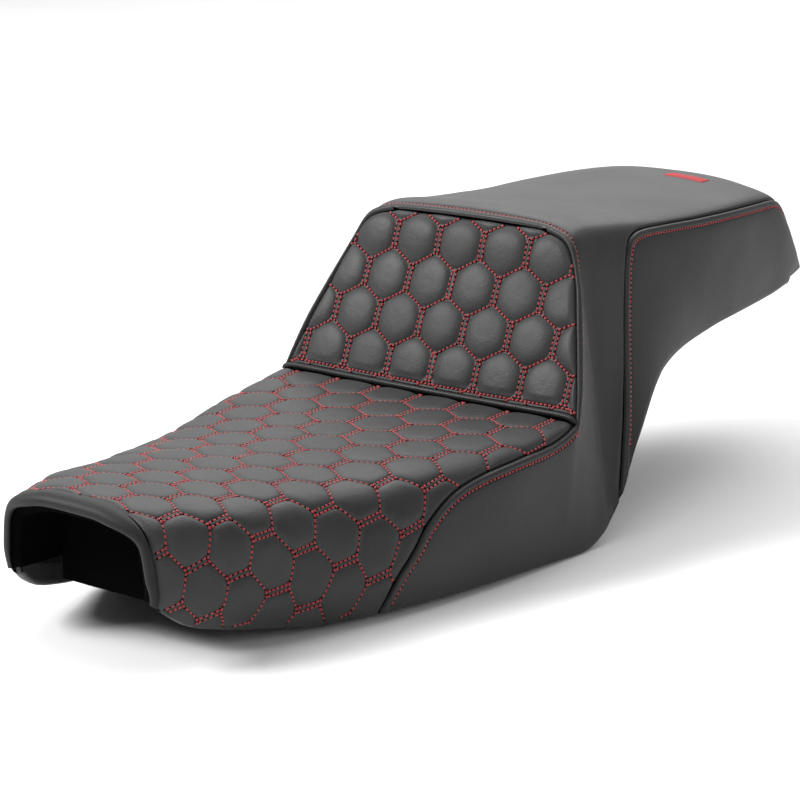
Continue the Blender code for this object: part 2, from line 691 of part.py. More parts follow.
# rear tab: from under the pan's tail out past the hem
ut = np.repeat([742., 760., 780., 800., 810.], 3)
roof = float(min(pan_surface(ut, np.tile([0., .09, .18], 5), PAN_T)[:, 2])) - .8
tab = strip_mesh([(TAB_END, TAB_TOP), (398, TAB_TOP), (375, TAB_TOP), (356, TAB_TOP), (350, TAB_TOP + 1.2),
                  (341, TAB_TOP + 7), (333, roof - 4), (327, roof - .8), (320, roof), (300, roof), (282, roof)],
                 TAB_W, 'rear_tab', STEEL)
for k, y in enumerate((291.0, 313.0)):
    tool = cutter(RIVET_SHANK / 2 + .45, 40, (0, y, roof), seg=12)
    cut(tab, tool)
    cut(seat_pan, tool)
    rivet('rear_rivet_%d' % (k + 1), 0.0, y, roof - TAB_T - .35, TAB_T, 3.2)
tool = cutter(SCREW_HOLE / 2, 20, (0, SCREW_Y, TAB_TOP), seg=20)
cut(tab, tool)

# captive mounting screw, turning about its own vertical axis in the tab's hole
axis_empty = bpy.data.objects.new('screw_axis', None)
bpy.context.collection.objects.link(axis_empty)
axis_empty.location = Vector((0, SCREW_Y, TAB_TOP)) * MM
screw = turned([(0, 8.8), (6.5, 8.8), (8.0, 7.6), (8.0, .4), (3.0, .4), (3.0, -14.0), (2.2, -15.0), (0, -15.0)],
               'mounting_screw', STEEL, (0, 0, 0), seg=20)
screw.parent = axis_empty
washer = bpy.data.meshes.new('retaining_washer')
bm = bmesh.new()
seg = 20
ring = []
for r, z in ((3.35, -3.5), (3.35, -4.7), (6.5, -4.7), (6.5, -3.5)):
    ring.append([bm.verts.new((r * MM * math.cos(2 * math.pi * k / seg), r * MM * math.sin(2 * math.pi * k / seg), z * MM)) for k in range(seg)])
for i in range(4):
    a, b = ring[i], ring[(i + 1) % 4]
    for k in range(seg):
        j = (k + 1) % seg
        bm.faces.new((a[k], a[j], b[j], b[k]))
wob = finish(bm, 'retaining_washer', STEEL, flat_angle=35)
wob.parent = axis_empty

# rubber bumpers under the pan, stems pushed up into its holes
BUMPERS = [('front', 150, .30), ('middle', 285, .32), ('rear', 690, .24)]
for label, u, v in BUMPERS:
    for sign, side in ((1, 'left'), (-1, 'right')):
        p, down = at_pan(u, v * sign, PAN_T)
        base = p + down * 1.2
        prof = [(0, -3.0), (STEM_D / 2, -3.0), (STEM_D / 2, 0), (BUMPER_D / 2 - 1, 0), (BUMPER_D / 2, 1.2),
                (BUMPER_D / 2 - 1.5, BUMPER_H - 1.5), (BUMPER_D / 2 - 3, BUMPER_H), (0, BUMPER_H)]
        turned(prof, 'bumper_%s_%s' % (label, side), RUBBER, base, axis=down, seg=14)
        cut(seat_pan, cutter(STEM_D / 2 + .45, 16, p, axis=down, seg=14))

for ob in bpy.data.objects:
    if ob.parent is None:
        ob.location = ob.location + Vector((0, -Y_CENTRE, Z_LIFT)) * MM
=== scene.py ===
"""Looks for the stepped two-up motorcycle seat.

The outer skin is the same loft as the CAD part's, meshed finely here so that
the quilting, seams, stitching and welt can be modelled in it.
"""
import bpy
import json
import math
import numpy as np
from mathutils import Vector, Matrix, kdtree

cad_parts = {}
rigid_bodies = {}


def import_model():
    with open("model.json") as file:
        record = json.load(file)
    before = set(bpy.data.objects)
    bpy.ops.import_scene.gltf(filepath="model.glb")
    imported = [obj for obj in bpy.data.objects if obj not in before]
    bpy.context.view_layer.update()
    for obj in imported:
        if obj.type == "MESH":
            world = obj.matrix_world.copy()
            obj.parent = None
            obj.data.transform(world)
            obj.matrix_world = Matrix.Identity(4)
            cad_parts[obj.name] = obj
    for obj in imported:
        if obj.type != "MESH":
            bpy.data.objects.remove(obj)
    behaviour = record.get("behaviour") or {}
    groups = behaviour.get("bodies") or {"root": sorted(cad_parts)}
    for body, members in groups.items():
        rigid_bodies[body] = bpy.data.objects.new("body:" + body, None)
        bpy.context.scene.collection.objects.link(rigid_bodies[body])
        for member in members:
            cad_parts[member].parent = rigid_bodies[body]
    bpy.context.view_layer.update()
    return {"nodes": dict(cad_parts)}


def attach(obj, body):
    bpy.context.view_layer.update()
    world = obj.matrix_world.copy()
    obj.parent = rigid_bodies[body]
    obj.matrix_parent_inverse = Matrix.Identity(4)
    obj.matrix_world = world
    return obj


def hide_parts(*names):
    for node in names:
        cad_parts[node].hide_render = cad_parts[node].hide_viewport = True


for ob in list(bpy.data.objects):
    bpy.data.objects.remove(ob, do_unlink=True)
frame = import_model()
MM = 0.001
Y_CENTRE, Z_LIFT = 20.0, 0.26
U_CREASE, U_END = 369.0, 895.0
rng = np.random.default_rng(7)

# ------------------------------------------------------------------ outer skin
DRIVER = [
    (0, -368, 103.3, 64, -367, 93.5, 66, -364, 42, .80, .60, 1.2, 3),
    (25, -343, 102, 75, -342, 95, 72, -342, 26, .80, .60, 1.2, 6),
    (50, -318, 101, 86, -317, 95, 79, -317, 18, .80, .60, 1.2, 8),
    (85, -283, 99, 92, -282, 92, 89, -280, 11, .75, .55, 1.2, 8),
    (130, -238, 97, 99, -237, 90, 103, -236, 6, .70, .50, 1.2, 8),
    (180, -188, 95, 109, -187, 89, 118, -186, 6, .65, .45, 1.1, 6),
    (235, -133, 95, 122, -132, 91, 128, -133, 5.5, .55, .40, 1.0, 4),
    (290, -79, 96, 134, -78, 94, 133, -84, 4.5, .40, .32, 1.0, 3),
    (369, -4, 99, 138, -4, 100, 135, -22, 2, .18, .25, 1.0, 1)]
REAR = [
    (369, -4, 99, 138, -4, 100, 135, -22, 2, .18, .25, 1.0, 1),
    (415, 12, 140, 127, 14, 141, 136, 10, 1, .15, .20, 1.0, 2),
    (460, 31, 186, 111, 34, 185, 136, 32, 8, .16, .20, 1.0, 0),
    (492, 44, 220, 98, 48, 218, 135, 44, 17, .28, .25, 1.0, -2),
    (510, 57, 229, 96, 62, 223, 135, 53, 27, .32, .25, 1.0, -2),
    (560, 105, 226, 97, 108, 220, 132, 82, 68, .32, .25, 1.0, -4),
    (620, 165, 223, 100, 168, 215, 118, 138, 110, .32, .25, 1.0, -2),
    (700, 245, 223.5, 103, 248, 213, 105, 222, 123, .35, .25, 1.0, 1),
    (760, 303, 223.5, 101, 305, 212, 100, 280, 127, .38, .30, 1.0, 2),
    (800, 336, 218.5, 99, 333, 208, 98, 315, 130, .42, .30, 1.0, 2),
    (835, 358, 197, 97, 353, 191, 97, 338, 133, .50, .35, 1.0, 2),
    (865, 377, 171, 94, 373, 167, 96, 352, 136, .60, .40, 1.0, 1),
    (895, 394, 143, 88, 395, 143, 94, 362, 138, .70, .50, 1.0, 0)]
PAN = [
    (0, -366, 95.5, 56, -366, 88.5, 61.5, -363, 41, .75, .5, 1.2, 2),
    (25, -342, 90.5, 64, -342, 84, 67.5, -342, 25, .75, .5, 1.2, 3),
    (50, -317, 86, 72, -317, 78, 74.5, -317, 17, .70, .5, 1.2, 4),
    (85, -281, 76, 78, -281, 67, 84.5, -280, 10, .65, .5, 1.1, 3),
    (130, -236, 66, 87, -236, 57, 98.5, -236, 5, .6, .5, 1.1, 2),
    (180, -186, 57, 99, -186, 50, 113.5, -186, 5, .5, .4, 1.0, 1),
    (235, -132, 52, 110, -132, 47, 123.5, -133, 4.5, .4, .4, 1.0, 1),
    (290, -80, 50, 117, -80, 46, 128.5, -84, 3.5, .35, .4, 1.0, 1),
    (369, -20, 53, 121, -22, 48, 130.5, -22, 1.0, .3, .3, 1.0, 1),
    (415, 10, 68, 119, 10, 62, 130.0, 10, 0.0, .3, .3, 1.0, 1),
    (460, 34, 88, 111, 34, 82, 128.0, 32, 7, .3, .3, 1.0, -1),
    (492, 50, 104, 105, 49, 97, 126.5, 44, 16, .3, .3, 1.0, -2),
    (510, 62, 114, 104, 60, 106, 126.0, 53, 26, .3, .3, 1.0, -3),
    (560, 102, 136, 103, 100, 126, 124.5, 82, 67, .3, .3, 1.0, -3),
    (620, 157, 150, 99, 154, 141, 111.5, 138, 109, .35, .3, 1.0, -1),
    (700, 235, 158, 93, 234, 150, 100.5, 222, 122, .4, .3, 1.0, 0),
    (760, 292, 159, 89, 290, 152, 95.5, 280, 126, .4, .3, 1.0, 0),
    (800, 324, 158, 87, 322, 151, 93.5, 314, 129, .4, .3, 1.0, 0),
    (835, 348, 154, 85, 345, 148, 92.0, 336, 132, .45, .35, 1.0, 0),
    (865, 368, 147.5, 84, 363, 143, 90.5, 349, 135, .5, .4, 1.0, 0),
    (895, 387, 141, 82, 388, 140, 89, 358, 137, .7, .5, 1.0, 0)]
SEAM_DRIVER = [(165, 1.0), (177, .916), (193, .829), (210, .722), (235, .622),
               (260, .578), (301, .562), (335, .570), (355, .545), (369, .488)]
SEAM_BACK = [(369, .488), (385, .462), (411, .42), (438, .41), (462, .43),
             (478, .45), (486, .40), (491, .32), (496, .22)]
SEAM_REAR = [(512, 1.0), (528, .977), (544, .940), (552, .895), (559, .80),
             (563, .68), (568, .595), (578, .535), (595, .505), (622, .500),
             (662, .512), (706, .515), (759, .508), (800, .490), (845, .455),
             (895, .400)]


def follow(xs, ys, x):
    xs, ys = np.asarray(xs, float), np.asarray(ys, float)
    x = np.atleast_1d(np.asarray(x, float))
    if ys.ndim == 1:
        return follow(xs, ys[:, None], x)[:, 0]
    h = np.diff(xs)
    d = np.diff(ys, axis=0) / h[:, None]
    m = np.zeros_like(ys)
    m[0], m[-1] = d[0], d[-1]
    for i in range(1, len(xs) - 1):
        a, b = d[i - 1], d[i]
        w1, w2 = 2 * h[i] + h[i - 1], h[i] + 2 * h[i - 1]
        sa, sb = np.where(a == 0, 1e-9, a), np.where(b == 0, 1e-9, b)
        q = w1 / sa + w2 / sb
        harm = np.where(a * b > 0, (w1 + w2) / np.where(q == 0, 1, q), 0)
        mean = (h[i] * a + h[i - 1] * b) / (h[i] + h[i - 1])
        m[i] = np.where(a * b > 0, 0.5 * harm + 0.5 * mean, 0.35 * mean)
    k = np.clip(np.searchsorted(xs, x, side='right') - 1, 0, len(xs) - 2)
    t = ((x - xs[k]) / h[k])[:, None]
    hh = h[k][:, None]
    return ((2 * t ** 3 - 3 * t ** 2 + 1) * ys[k] + (t ** 3 - 2 * t ** 2 + t) * hh * m[k]
            + (-2 * t ** 3 + 3 * t ** 2) * ys[k + 1] + (t ** 3 - t ** 2) * hh * m[k + 1])


def basis(v, n=7):
    kn = np.concatenate([[0] * 4, np.arange(1, n - 3) / (n - 3), [1] * 4]).astype(float)
    v = np.clip(v, 0, 1 - 1e-9)
    w = [((v >= kn[i]) & (v < kn[i + 1])).astype(float) for i in range(len(kn) - 1)]
    for p in range(1, 4):
        nw = []
        for i in range(len(kn) - 1 - p):
            a, c = kn[i + p] - kn[i], kn[i + p + 1] - kn[i + 1]
            r = np.zeros_like(v)
            if a > 0:
                r = r + (v - kn[i]) / a * w[i]
            if c > 0:
                r = r + (kn[i + p + 1] - v) / c * w[i + 1]
            nw.append(r)
        w = nw
    return np.array(w)


def polygon(ch):
    ty, tz, qx, qy, qz, bx, by, bz, rt, rs, cr, bu = ch.T
    o = 0 * ty
    top, cor, bot = np.stack([o, ty, tz], 1), np.stack([qx, qy, qz], 1), np.stack([bx, by, bz], 1)
    p1 = top + np.stack([0.38 * qx, o, o], 1)
    run = cor - (top + np.stack([0.30 * qx, o, o], 1) * cr[:, None])
    qa = cor - run * rt[:, None]
    drop = bot - cor
    qb = cor + drop * rs[:, None]
    p3 = cor + drop * (0.5 + 0.5 * rs)[:, None]
    p3[:, 0] += bu
    qb[:, 0] += bu * 0.5
    return np.stack([top, p1, qa, cor, qb, p3, bot], 1)


DRV, RER, PANS = (np.array(t, float) for t in (DRIVER, REAR, PAN))
ALL = np.vstack([DRV, RER[1:]])


def poly_at(u, which):
    if which == 'pan':
        return polygon(follow(PANS[:, 0], PANS[:, 1:], u))
    tab = RER if which == 'rear' else DRV
    ch = follow(tab[:, 0], tab[:, 1:], u)
    sm = follow(ALL[:, 0], ALL[:, 1:], u)
    for c in (5, 6, 7, 9, 10, 11):
        ch[:, c] = sm[:, c]
    return polygon(ch)


def surf(u, v, which):
    """u (n,), v (n, m), negative v is the right half; returns (n, m, 3) in mm, row frame."""
    u, v = np.asarray(u, float), np.asarray(v, float)
    poly = poly_at(u, which)
    w = basis(np.abs(v).ravel()).reshape(7, *v.shape)
    p = np.einsum('kij,ikd->ijd', w, poly)
    p[..., 0] *= np.where(v < 0, -1, 1)
    p[..., 1] -= Y_CENTRE
    p[..., 2] += Z_LIFT
    return p


LIMITS = {'front': (0.0, U_CREASE), 'rear': (U_CREASE, U_END), 'pan': (0.0, U_END)}


def normals(u, v, which):
    u, v = np.asarray(u, float), np.asarray(v, float)
    lo, hi = LIMITS[which]
    ua, ub = np.clip(u - .8, lo, hi), np.clip(u + .8, lo, hi)
    va, vb = np.clip(v - .003, -1, 1), np.clip(v + .003, -1, 1)
    du = surf(ub, v, which) - surf(ua, v, which)
    dv = surf(u, vb, which) - surf(u, va, which)
    n = np.cross(dv, du)
    return n / np.maximum(np.linalg.norm(n, axis=-1, keepdims=True), 1e-12)


def points(u, v, which):
    """Single points, paired u and v."""
    u, v = np.atleast_1d(np.asarray(u, float)), np.atleast_1d(np.asarray(v, float))
    return surf(u, v[:, None], which)[:, 0], normals(u, v[:, None], which)[:, 0]


def seam_v(table, u):
    t = np.array(table, float)
    return follow(t[:, 0], t[:, 1], u)


def pulled(table, u, side, half):
    """A seam's place moved to one side of the seam line by half millimetres."""
    u = np.atleast_1d(np.asarray(u, float))
    slope = (seam_v(table, u + 1) - seam_v(table, u - 1)) / 2
    return seam_v(table, u) + side * half * np.sqrt(1 + (slope * 210) ** 2) / 210


def smoothstep(x):
    x = np.clip(x, 0, 1)
    return x * x * (3 - 2 * x)


def value_noise(p, scale, seed=0):
    """Smooth repeatable noise in -1..1 at points p (..., 3), feature size scale."""
    q = p / scale
    i = np.floor(q).astype(np.int64)
    f = q - i
    f = f * f * (3 - 2 * f)
    out = np.zeros(p.shape[:-1])
    for dx in (0, 1):
        for dy in (0, 1):
            for dz in (0, 1):
                h = ((i[..., 0] + dx) * 73856093 ^ (i[..., 1] + dy) * 19349663 ^ (i[..., 2] + dz) * 83492791 ^ seed * 2654435761)
                h = (h ^ (h >> 13)) * 1274126177
                r = ((h ^ (h >> 16)) & 0xffff) / 32767.5 - 1
                out += r * (f[..., 0] if dx else 1 - f[..., 0]) * (f[..., 1] if dy else 1 - f[..., 1]) * (f[..., 2] if dz else 1 - f[..., 2])
    return out


def polyline_distance(pts, lines):
    """Distance in mm from each point to the nearest of densely sampled polylines."""
    dense = np.concatenate([resample(l, .8) for l in lines])
    kd = kdtree.KDTree(len(dense))
    for k, p in enumerate(dense):
        kd.insert(p, k)
    kd.balance()
    flat = pts.reshape(-1, 3)
    return np.array([kd.find(p)[2] for p in flat]).reshape(pts.shape[:-1])


def resample(line, step):
    line = np.asarray(line, float)
    d = np.concatenate([[0], np.cumsum(np.linalg.norm(np.diff(line, axis=0), axis=1))])
    n = max(2, int(round(d[-1] / step)) + 1)
    t = np.linspace(0, d[-1], n)
    return np.stack([np.interp(t, d, line[:, k]) for k in range(3)], 1)


# ------------------------------------------------------------------ materials
def new_material(name):
    m = bpy.data.materials.new(name)
    m.use_nodes = True
    nt = m.node_tree
    return m, nt, nt.nodes['Principled BSDF']


def node(nt, kind, **values):
    n = nt.nodes.new(kind)
    for k, v in values.items():
        if k in n.inputs:
            n.inputs[k].default_value = v
        else:
            setattr(n, k, v)
    return n


def ramp(nt, fac, stops):
    r = nt.nodes.new('ShaderNodeValToRGB')
    e = r.color_ramp.elements
    while len(e) < len(stops):
        e.new(.5)
    for el, (pos, col) in zip(e, stops):
        el.position = pos
        el.color = (*col, 1) if len(col) == 3 else col
    nt.links.new(fac, r.inputs['Fac'])
    return r


def vinyl(name, dark, light, rough, grain=620.0, strength=.35, depth=.00022):
    """Embossed vinyl: pebbled grain, slight variation in tone and gloss."""
    m, nt, b = new_material(name)
    co = node(nt, 'ShaderNodeTexCoord')
    big = node(nt, 'ShaderNodeTexNoise', Scale=14.0, Detail=4.0, Roughness=.6)
    nt.links.new(co.outputs['Object'], big.inputs['Vector'])
    pebble = node(nt, 'ShaderNodeTexVoronoi', feature='SMOOTH_F1', Scale=grain, Smoothness=.6, Randomness=1.0)
    nt.links.new(co.outputs['Object'], pebble.inputs['Vector'])
    fine = node(nt, 'ShaderNodeTexNoise', Scale=2600.0, Detail=2.0, Roughness=.5)
    nt.links.new(co.outputs['Object'], fine.inputs['Vector'])
    c = ramp(nt, big.outputs['Fac'], [(.3, dark), (.72, light)])
    mix = node(nt, 'ShaderNodeMix', data_type='RGBA', blend_type='MULTIPLY')
    mix.inputs['Factor'].default_value = .45
    g = ramp(nt, pebble.outputs['Distance'], [(.0, (1.12, 1.12, 1.12)), (.75, (.72, .72, .72))])
    nt.links.new(c.outputs['Color'], mix.inputs['A'])
    nt.links.new(g.outputs['Color'], mix.inputs['B'])
    nt.links.new(mix.outputs['Result'], b.inputs['Base Color'])
    rr = node(nt, 'ShaderNodeMapRange')
    rr.inputs['From Min'].default_value = .3
    rr.inputs['From Max'].default_value = .7
    rr.inputs['To Min'].default_value = rough - .05
    rr.inputs['To Max'].default_value = rough + .06
    nt.links.new(big.outputs['Fac'], rr.inputs['Value'])
    nt.links.new(rr.outputs['Result'], b.inputs['Roughness'])
    add = node(nt, 'ShaderNodeMath', operation='MULTIPLY_ADD')
    add.inputs[1].default_value = .25
    nt.links.new(fine.outputs['Fac'], add.inputs[0])
    inv = node(nt, 'ShaderNodeMath', operation='SUBTRACT')
    inv.inputs[0].default_value = 1.0
    nt.links.new(pebble.outputs['Distance'], inv.inputs[1])
    nt.links.new(inv.outputs['Value'], add.inputs[2])
    bump = node(nt, 'ShaderNodeBump', Strength=strength, Distance=depth)
    nt.links.new(add.outputs['Value'], bump.inputs['Height'])
    nt.links.new(bump.outputs['Normal'], b.inputs['Normal'])
    b.inputs['Specular IOR Level'].default_value = .34
    b.inputs['Sheen Weight'].default_value = .03
    b.inputs['Sheen Roughness'].default_value = .5
    m.diffuse_color = (*dark, 1)
    return m


def speckled(name, dark, light, rough, scale, metal=0.0, bump_strength=.2, bump_depth=.0002, stretch=None, detail=5.0):
    m, nt, b = new_material(name)
    co = node(nt, 'ShaderNodeTexCoord')
    src = co.outputs['Object']
    if stretch:
        mp = node(nt, 'ShaderNodeMapping')
        mp.inputs['Scale'].default_value = stretch
        nt.links.new(src, mp.inputs['Vector'])
        src = mp.outputs['Vector']
    n = node(nt, 'ShaderNodeTexNoise', Scale=scale, Detail=detail, Roughness=.62)
    nt.links.new(src, n.inputs['Vector'])
    c = ramp(nt, n.outputs['Fac'], [(.32, dark), (.70, light)])
    nt.links.new(c.outputs['Color'], b.inputs['Base Color'])
    r = node(nt, 'ShaderNodeMapRange')
    r.inputs['From Min'].default_value = .3
    r.inputs['From Max'].default_value = .7
    r.inputs['To Min'].default_value = max(.05, rough - .08)
    r.inputs['To Max'].default_value = min(1, rough + .08)
    nt.links.new(n.outputs['Fac'], r.inputs['Value'])
    nt.links.new(r.outputs['Result'], b.inputs['Roughness'])
    bp = node(nt, 'ShaderNodeBump', Strength=bump_strength, Distance=bump_depth)
    nt.links.new(n.outputs['Fac'], bp.inputs['Height'])
    nt.links.new(bp.outputs['Normal'], b.inputs['Normal'])
    b.inputs['Metallic'].default_value = metal
    m.diffuse_color = (*dark, 1)
    return m


M_QUILT = vinyl('quilt_vinyl_grain', (.0240, .0240, .0243), (.0300, .0300, .0303), .52)
M_SMOOTH = vinyl('smooth_vinyl_grain', (.0200, .0200, .0203), (.0255, .0255, .0259), .46)
M_BIND = vinyl('binding_vinyl_grain', (.0110, .0110, .0113), (.0150, .0150, .0153), .56)
M_WELT = vinyl('welt_vinyl_grain', (.0150, .0150, .0153), (.0200, .0200, .0203), .42, grain=800)
M_THREAD = speckled('red_thread', (.24, .009, .012), (.42, .022, .027), .62, 2600, bump_strength=.5, bump_depth=.0002)
M_THREAD.node_tree.nodes['Principled BSDF'].inputs['Sheen Weight'].default_value = .3
# painted shade: near-black caps at each needle hole, standing in for the shade inside the holes
M_NEEDLE_HOLE_SHADE = speckled('needle_hole_shadow', (.002, .002, .002), (.005, .004, .004), .95, 900)
M_FOAM = speckled('moulded_foam_cells', (.008, .008, .008), (.022, .022, .022), .95, 900, bump_strength=.8, bump_depth=.0006)
# painted shade: near-black sheet material for the nose opening, standing in for the shade inside it
M_NOSE_SHADE_SHEET = speckled('painted_shade_nose_sheet', (.0008, .0008, .0008), (.0022, .0022, .0022), .98, 1400, bump_strength=.5, bump_depth=.0003)
for m_ in (M_FOAM, M_NOSE_SHADE_SHEET, M_NEEDLE_HOLE_SHADE):
    m_.node_tree.nodes['Principled BSDF'].inputs['Specular IOR Level'].default_value = .02
M_PAN = speckled('textured_pan_plastic', (.010, .010, .011), (.020, .020, .021), .58, 1300, bump_strength=.35, bump_depth=.0003)
M_STEEL = speckled('zinc_plated_steel', (.48, .48, .46), (.66, .65, .62), .36, 240, metal=1.0, bump_strength=.12, stretch=(1, 8, 1))
M_RUBBER = speckled('moulded_rubber', (.012, .012, .012), (.024, .024, .024), .78, 700, bump_strength=.3)
M_LABEL = speckled('woven_red_label', (.30, .012, .016), (.50, .030, .035), .75, 1500, bump_strength=.6, bump_depth=.0003)
M_STAPLE = speckled('staple_wire', (.40, .40, .39), (.62, .62, .60), .34, 700, metal=1.0, bump_strength=.1)


for m_ in (M_BIND, M_WELT):
    m_.node_tree.nodes['Principled BSDF'].inputs['Specular IOR Level'].default_value = .20


# ------------------------------------------------------------------ mesh helpers
def mesh_object(name, pts, quads, mat, body='seat', smooth=True):
    me = bpy.data.meshes.new(name)
    pts = np.asarray(pts, float) * MM
    quads = np.asarray(quads, np.int32)
    k = quads.shape[1]
    me.vertices.add(len(pts))
    me.vertices.foreach_set('co', pts.astype(np.float32).ravel())
    me.loops.add(quads.size)
    me.loops.foreach_set('vertex_index', quads.ravel())
    me.polygons.add(len(quads))
    me.polygons.foreach_set('loop_start', np.arange(0, quads.size, k, dtype=np.int32))
    me.update(calc_edges=True)
    me.validate()
    if smooth:
        me.shade_smooth()
    ob = bpy.data.objects.new(name, me)
    bpy.context.collection.objects.link(ob)
    me.materials.append(mat)
    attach(ob, body)
    return ob


def grid_quads(nr, nc, base=0):
    r, c = np.meshgrid(np.arange(nr - 1), np.arange(nc - 1), indexing='ij')
    a = (r * nc + c + base).ravel()
    return np.stack([a, a + 1, a + nc + 1, a + nc], 1)


def grid_normals(p):
    """Vertex normals of a grid of points, outward when columns run left to right of +u."""
    dv = np.gradient(p, axis=1)
    du = np.gradient(p, axis=0)
    n = np.cross(dv, du)
    return n / np.maximum(np.linalg.norm(n, axis=-1, keepdims=True), 1e-12)


# ------------------------------------------------------------------ quilting lattice
HP, ROW = 20.13, 31.33          # half the cell's pitch across, and the row pitch along
EDGE = .31                      # half of a straight double edge, in rows
TWIN = 1.75                     # each of the two seams stands this far from the middle


class DriverLattice:
    """Distance across (s) and along (t) the rider's cover, both ways."""

    def __init__(self):
        self.us = np.linspace(0, U_CREASE, 370)
        self.vs = np.linspace(0, 1, 241)
        p = surf(self.us, np.tile(self.vs, (len(self.us), 1)), 'front')
        self.s = np.concatenate([np.zeros((len(self.us), 1)),
                                 np.cumsum(np.linalg.norm(np.diff(p, axis=1), axis=2), axis=1)], 1)
        self.sg = np.arange(0, 236, 1.5)
        self.tt = np.full((len(self.sg), len(self.us)), np.nan)
        self.vv = np.full((len(self.sg), len(self.us)), np.nan)
        for k, s in enumerate(self.sg):
            v = np.array([np.interp(s, self.s[i], self.vs, right=np.nan) for i in range(len(self.us))])
            # beyond the hem the curve is carried on with the last place, so lengths stay defined
            vc = np.where(np.isnan(v), 1.0, v)
            q = surf(self.us, vc[:, None], 'front')[:, 0]
            d = np.linalg.norm(np.diff(q, axis=0), axis=1)
            t = np.concatenate([np.cumsum(d[::-1])[::-1], [0]])
            self.tt[k] = t
            self.vv[k] = vc
            self.vv[k][np.isnan(v)] = np.nan

    def st(self, u, v):
        """(s, t) of grid points, u (n,), v (n, m) >= 0."""
        fu = np.clip(u / U_CREASE * (len(self.us) - 1), 0, len(self.us) - 1.001)
        i = fu.astype(int)
        a = (fu - i)[:, None]
        fv = np.clip(np.abs(v) * (len(self.vs) - 1), 0, len(self.vs) - 1.001)
        j = fv.astype(int)
        b = fv - j
        I = i[:, None]
        s = ((self.s[I, j] * (1 - b) + self.s[I, j + 1] * b) * (1 - a)
             + (self.s[I + 1, j] * (1 - b) + self.s[I + 1, j + 1] * b) * a)
        fs = np.clip(s / 1.5, 0, len(self.sg) - 1.001)
        k = fs.astype(int)
        c = fs - k
        t = ((self.tt[k, I] * (1 - c) + self.tt[k + 1, I] * c) * (1 - a)
             + (self.tt[k, I + 1] * (1 - c) + self.tt[k + 1, I + 1] * c) * a)
        return s, t

    def uv(self, s, t):
        """Places of points given by paired s (>=0) and t; nan outside."""
        s, t = np.asarray(s, float), np.asarray(t, float)
        fs = np.clip(s / 1.5, 0, len(self.sg) - 1.001)
        k = fs.astype(int)
        c = fs - k
        u = np.full(len(s), np.nan)
        v = np.full(len(s), np.nan)
        for n in range(len(s)):
            row = self.tt[k[n]] * (1 - c[n]) + self.tt[k[n] + 1] * c[n]
            if t[n] < 0 or t[n] > row[0]:
                continue
            u[n] = np.interp(-t[n], -row, self.us)
            i = min(int(u[n] / U_CREASE * (len(self.us) - 1)), len(self.us) - 2)
            a = u[n] / U_CREASE * (len(self.us) - 1) - i
            srow = self.s[i] * (1 - a) + self.s[i + 1] * a
            v[n] = np.interp(s[n], srow, self.vs, right=np.nan)
        return u, v


def tau_of_t(t):
    q = t / ROW
    return q + .02 * np.maximum(q - 5, 0) ** 2


def t_of_tau(tau):
    q = np.linspace(-2, 20, 2201)
    return np.interp(tau, q + .02 * np.maximum(q - 5, 0) ** 2, q) * ROW


def cell_distances(i, tau, parity=1, centre=.5, roundness=6.0):
    """Distance in mm to the straight edge's middle line, and place in the cell: 0 at its middle, 1 at its stitching."""
    best = np.full(i.shape, -1e9)
    d1b, rb = np.zeros(i.shape), np.zeros(i.shape)
    L = math.hypot(.38 * ROW, HP)
    D2 = (HP * .38 * ROW + EDGE * ROW * HP) / L
    base = np.floor(tau - centre)
    for k in (-1, 0, 1, 2):
        n = base + k
        par = np.mod(n + parity, 2)
        ic = 2 * np.round((i - par) / 2) + par
        dx, dy = np.abs(i - ic) * HP, np.abs(tau - (n + centre)) * ROW
        d1 = HP - dx
        d2 = ((HP - dx) * .38 * ROW + (EDGE * ROW - dy) * HP) / L
        m = np.minimum(d1, d2)
        take = m > best
        best = np.where(take, m, best)
        d1b = np.where(take, d1, d1b)
        q1 = dx / (HP - TWIN)
        q2 = np.abs(1 - d2 / D2)
        q3 = np.abs(1 - ((HP - dx) * .38 * ROW + (EDGE * ROW + dy) * HP) / L / D2)
        rb = np.where(take, (q1 ** roundness + q2 ** roundness + q3 ** roundness) ** (1 / roundness), rb)
    return d1b, rb


def puff(d1, r, deep=2.3, dome=1.5, k=3.0, m=.72):
    """Height of the quilting over the skin: low at the seams, domed between them."""
    h = -deep + (deep + dome) * np.clip(1 - np.clip(r, 0, 1) ** k, 0, 1) ** m
    ridge = -deep + .9 * np.clip(1 - (np.clip(d1, 0, TWIN) / TWIN) ** 2, 0, 1)
    return np.where(d1 > TWIN, h, ridge), np.clip(1 - r, 0, 1) * 17.0


# ------------------------------------------------------------------ seams as 3-D lines
def seam_line(table, which_of, sign, lo=None, hi=None, n=160):
    us = np.linspace(table[0][0] if lo is None else lo, table[-1][0] if hi is None else hi, n)
    v = np.clip(seam_v(table, us), 0, 1) * sign
    return points(us, v, which_of)[0]


LINE_DRIVER = {s: seam_line(SEAM_DRIVER, 'front', s) for s in (1, -1)}
LINE_BACK = {s: seam_line(SEAM_BACK, 'rear', s) for s in (1, -1)}
LINE_REAR = {s: seam_line(SEAM_REAR, 'rear', s) for s in (1, -1)}
vt = np.linspace(-.22, .22, 120)
LINE_BACKTOP = points(np.full(120, 496.0), vt, 'rear')[0]
vc_ = np.linspace(-.488, .488, 200)
LINE_CREASE = points(np.full(200, U_CREASE), vc_, 'front')[0]


def kd_of(lines, step=.5):
    dense = np.concatenate([resample(l, step) for l in lines])
    kd = kdtree.KDTree(len(dense))
    for k, p in enumerate(dense):
        kd.insert(p, k)
    kd.balance()
    return kd


def dist(kd, p):
    return np.array([kd.find(q)[2] for q in p.reshape(-1, 3)]).reshape(p.shape[:-1])


def edge_roll(d, deep=2.6, width=4.0):
    """A panel's edge turning down into its seam."""
    x = np.clip(1 - d / width, 0, 1)
    return -deep * x ** 2.2


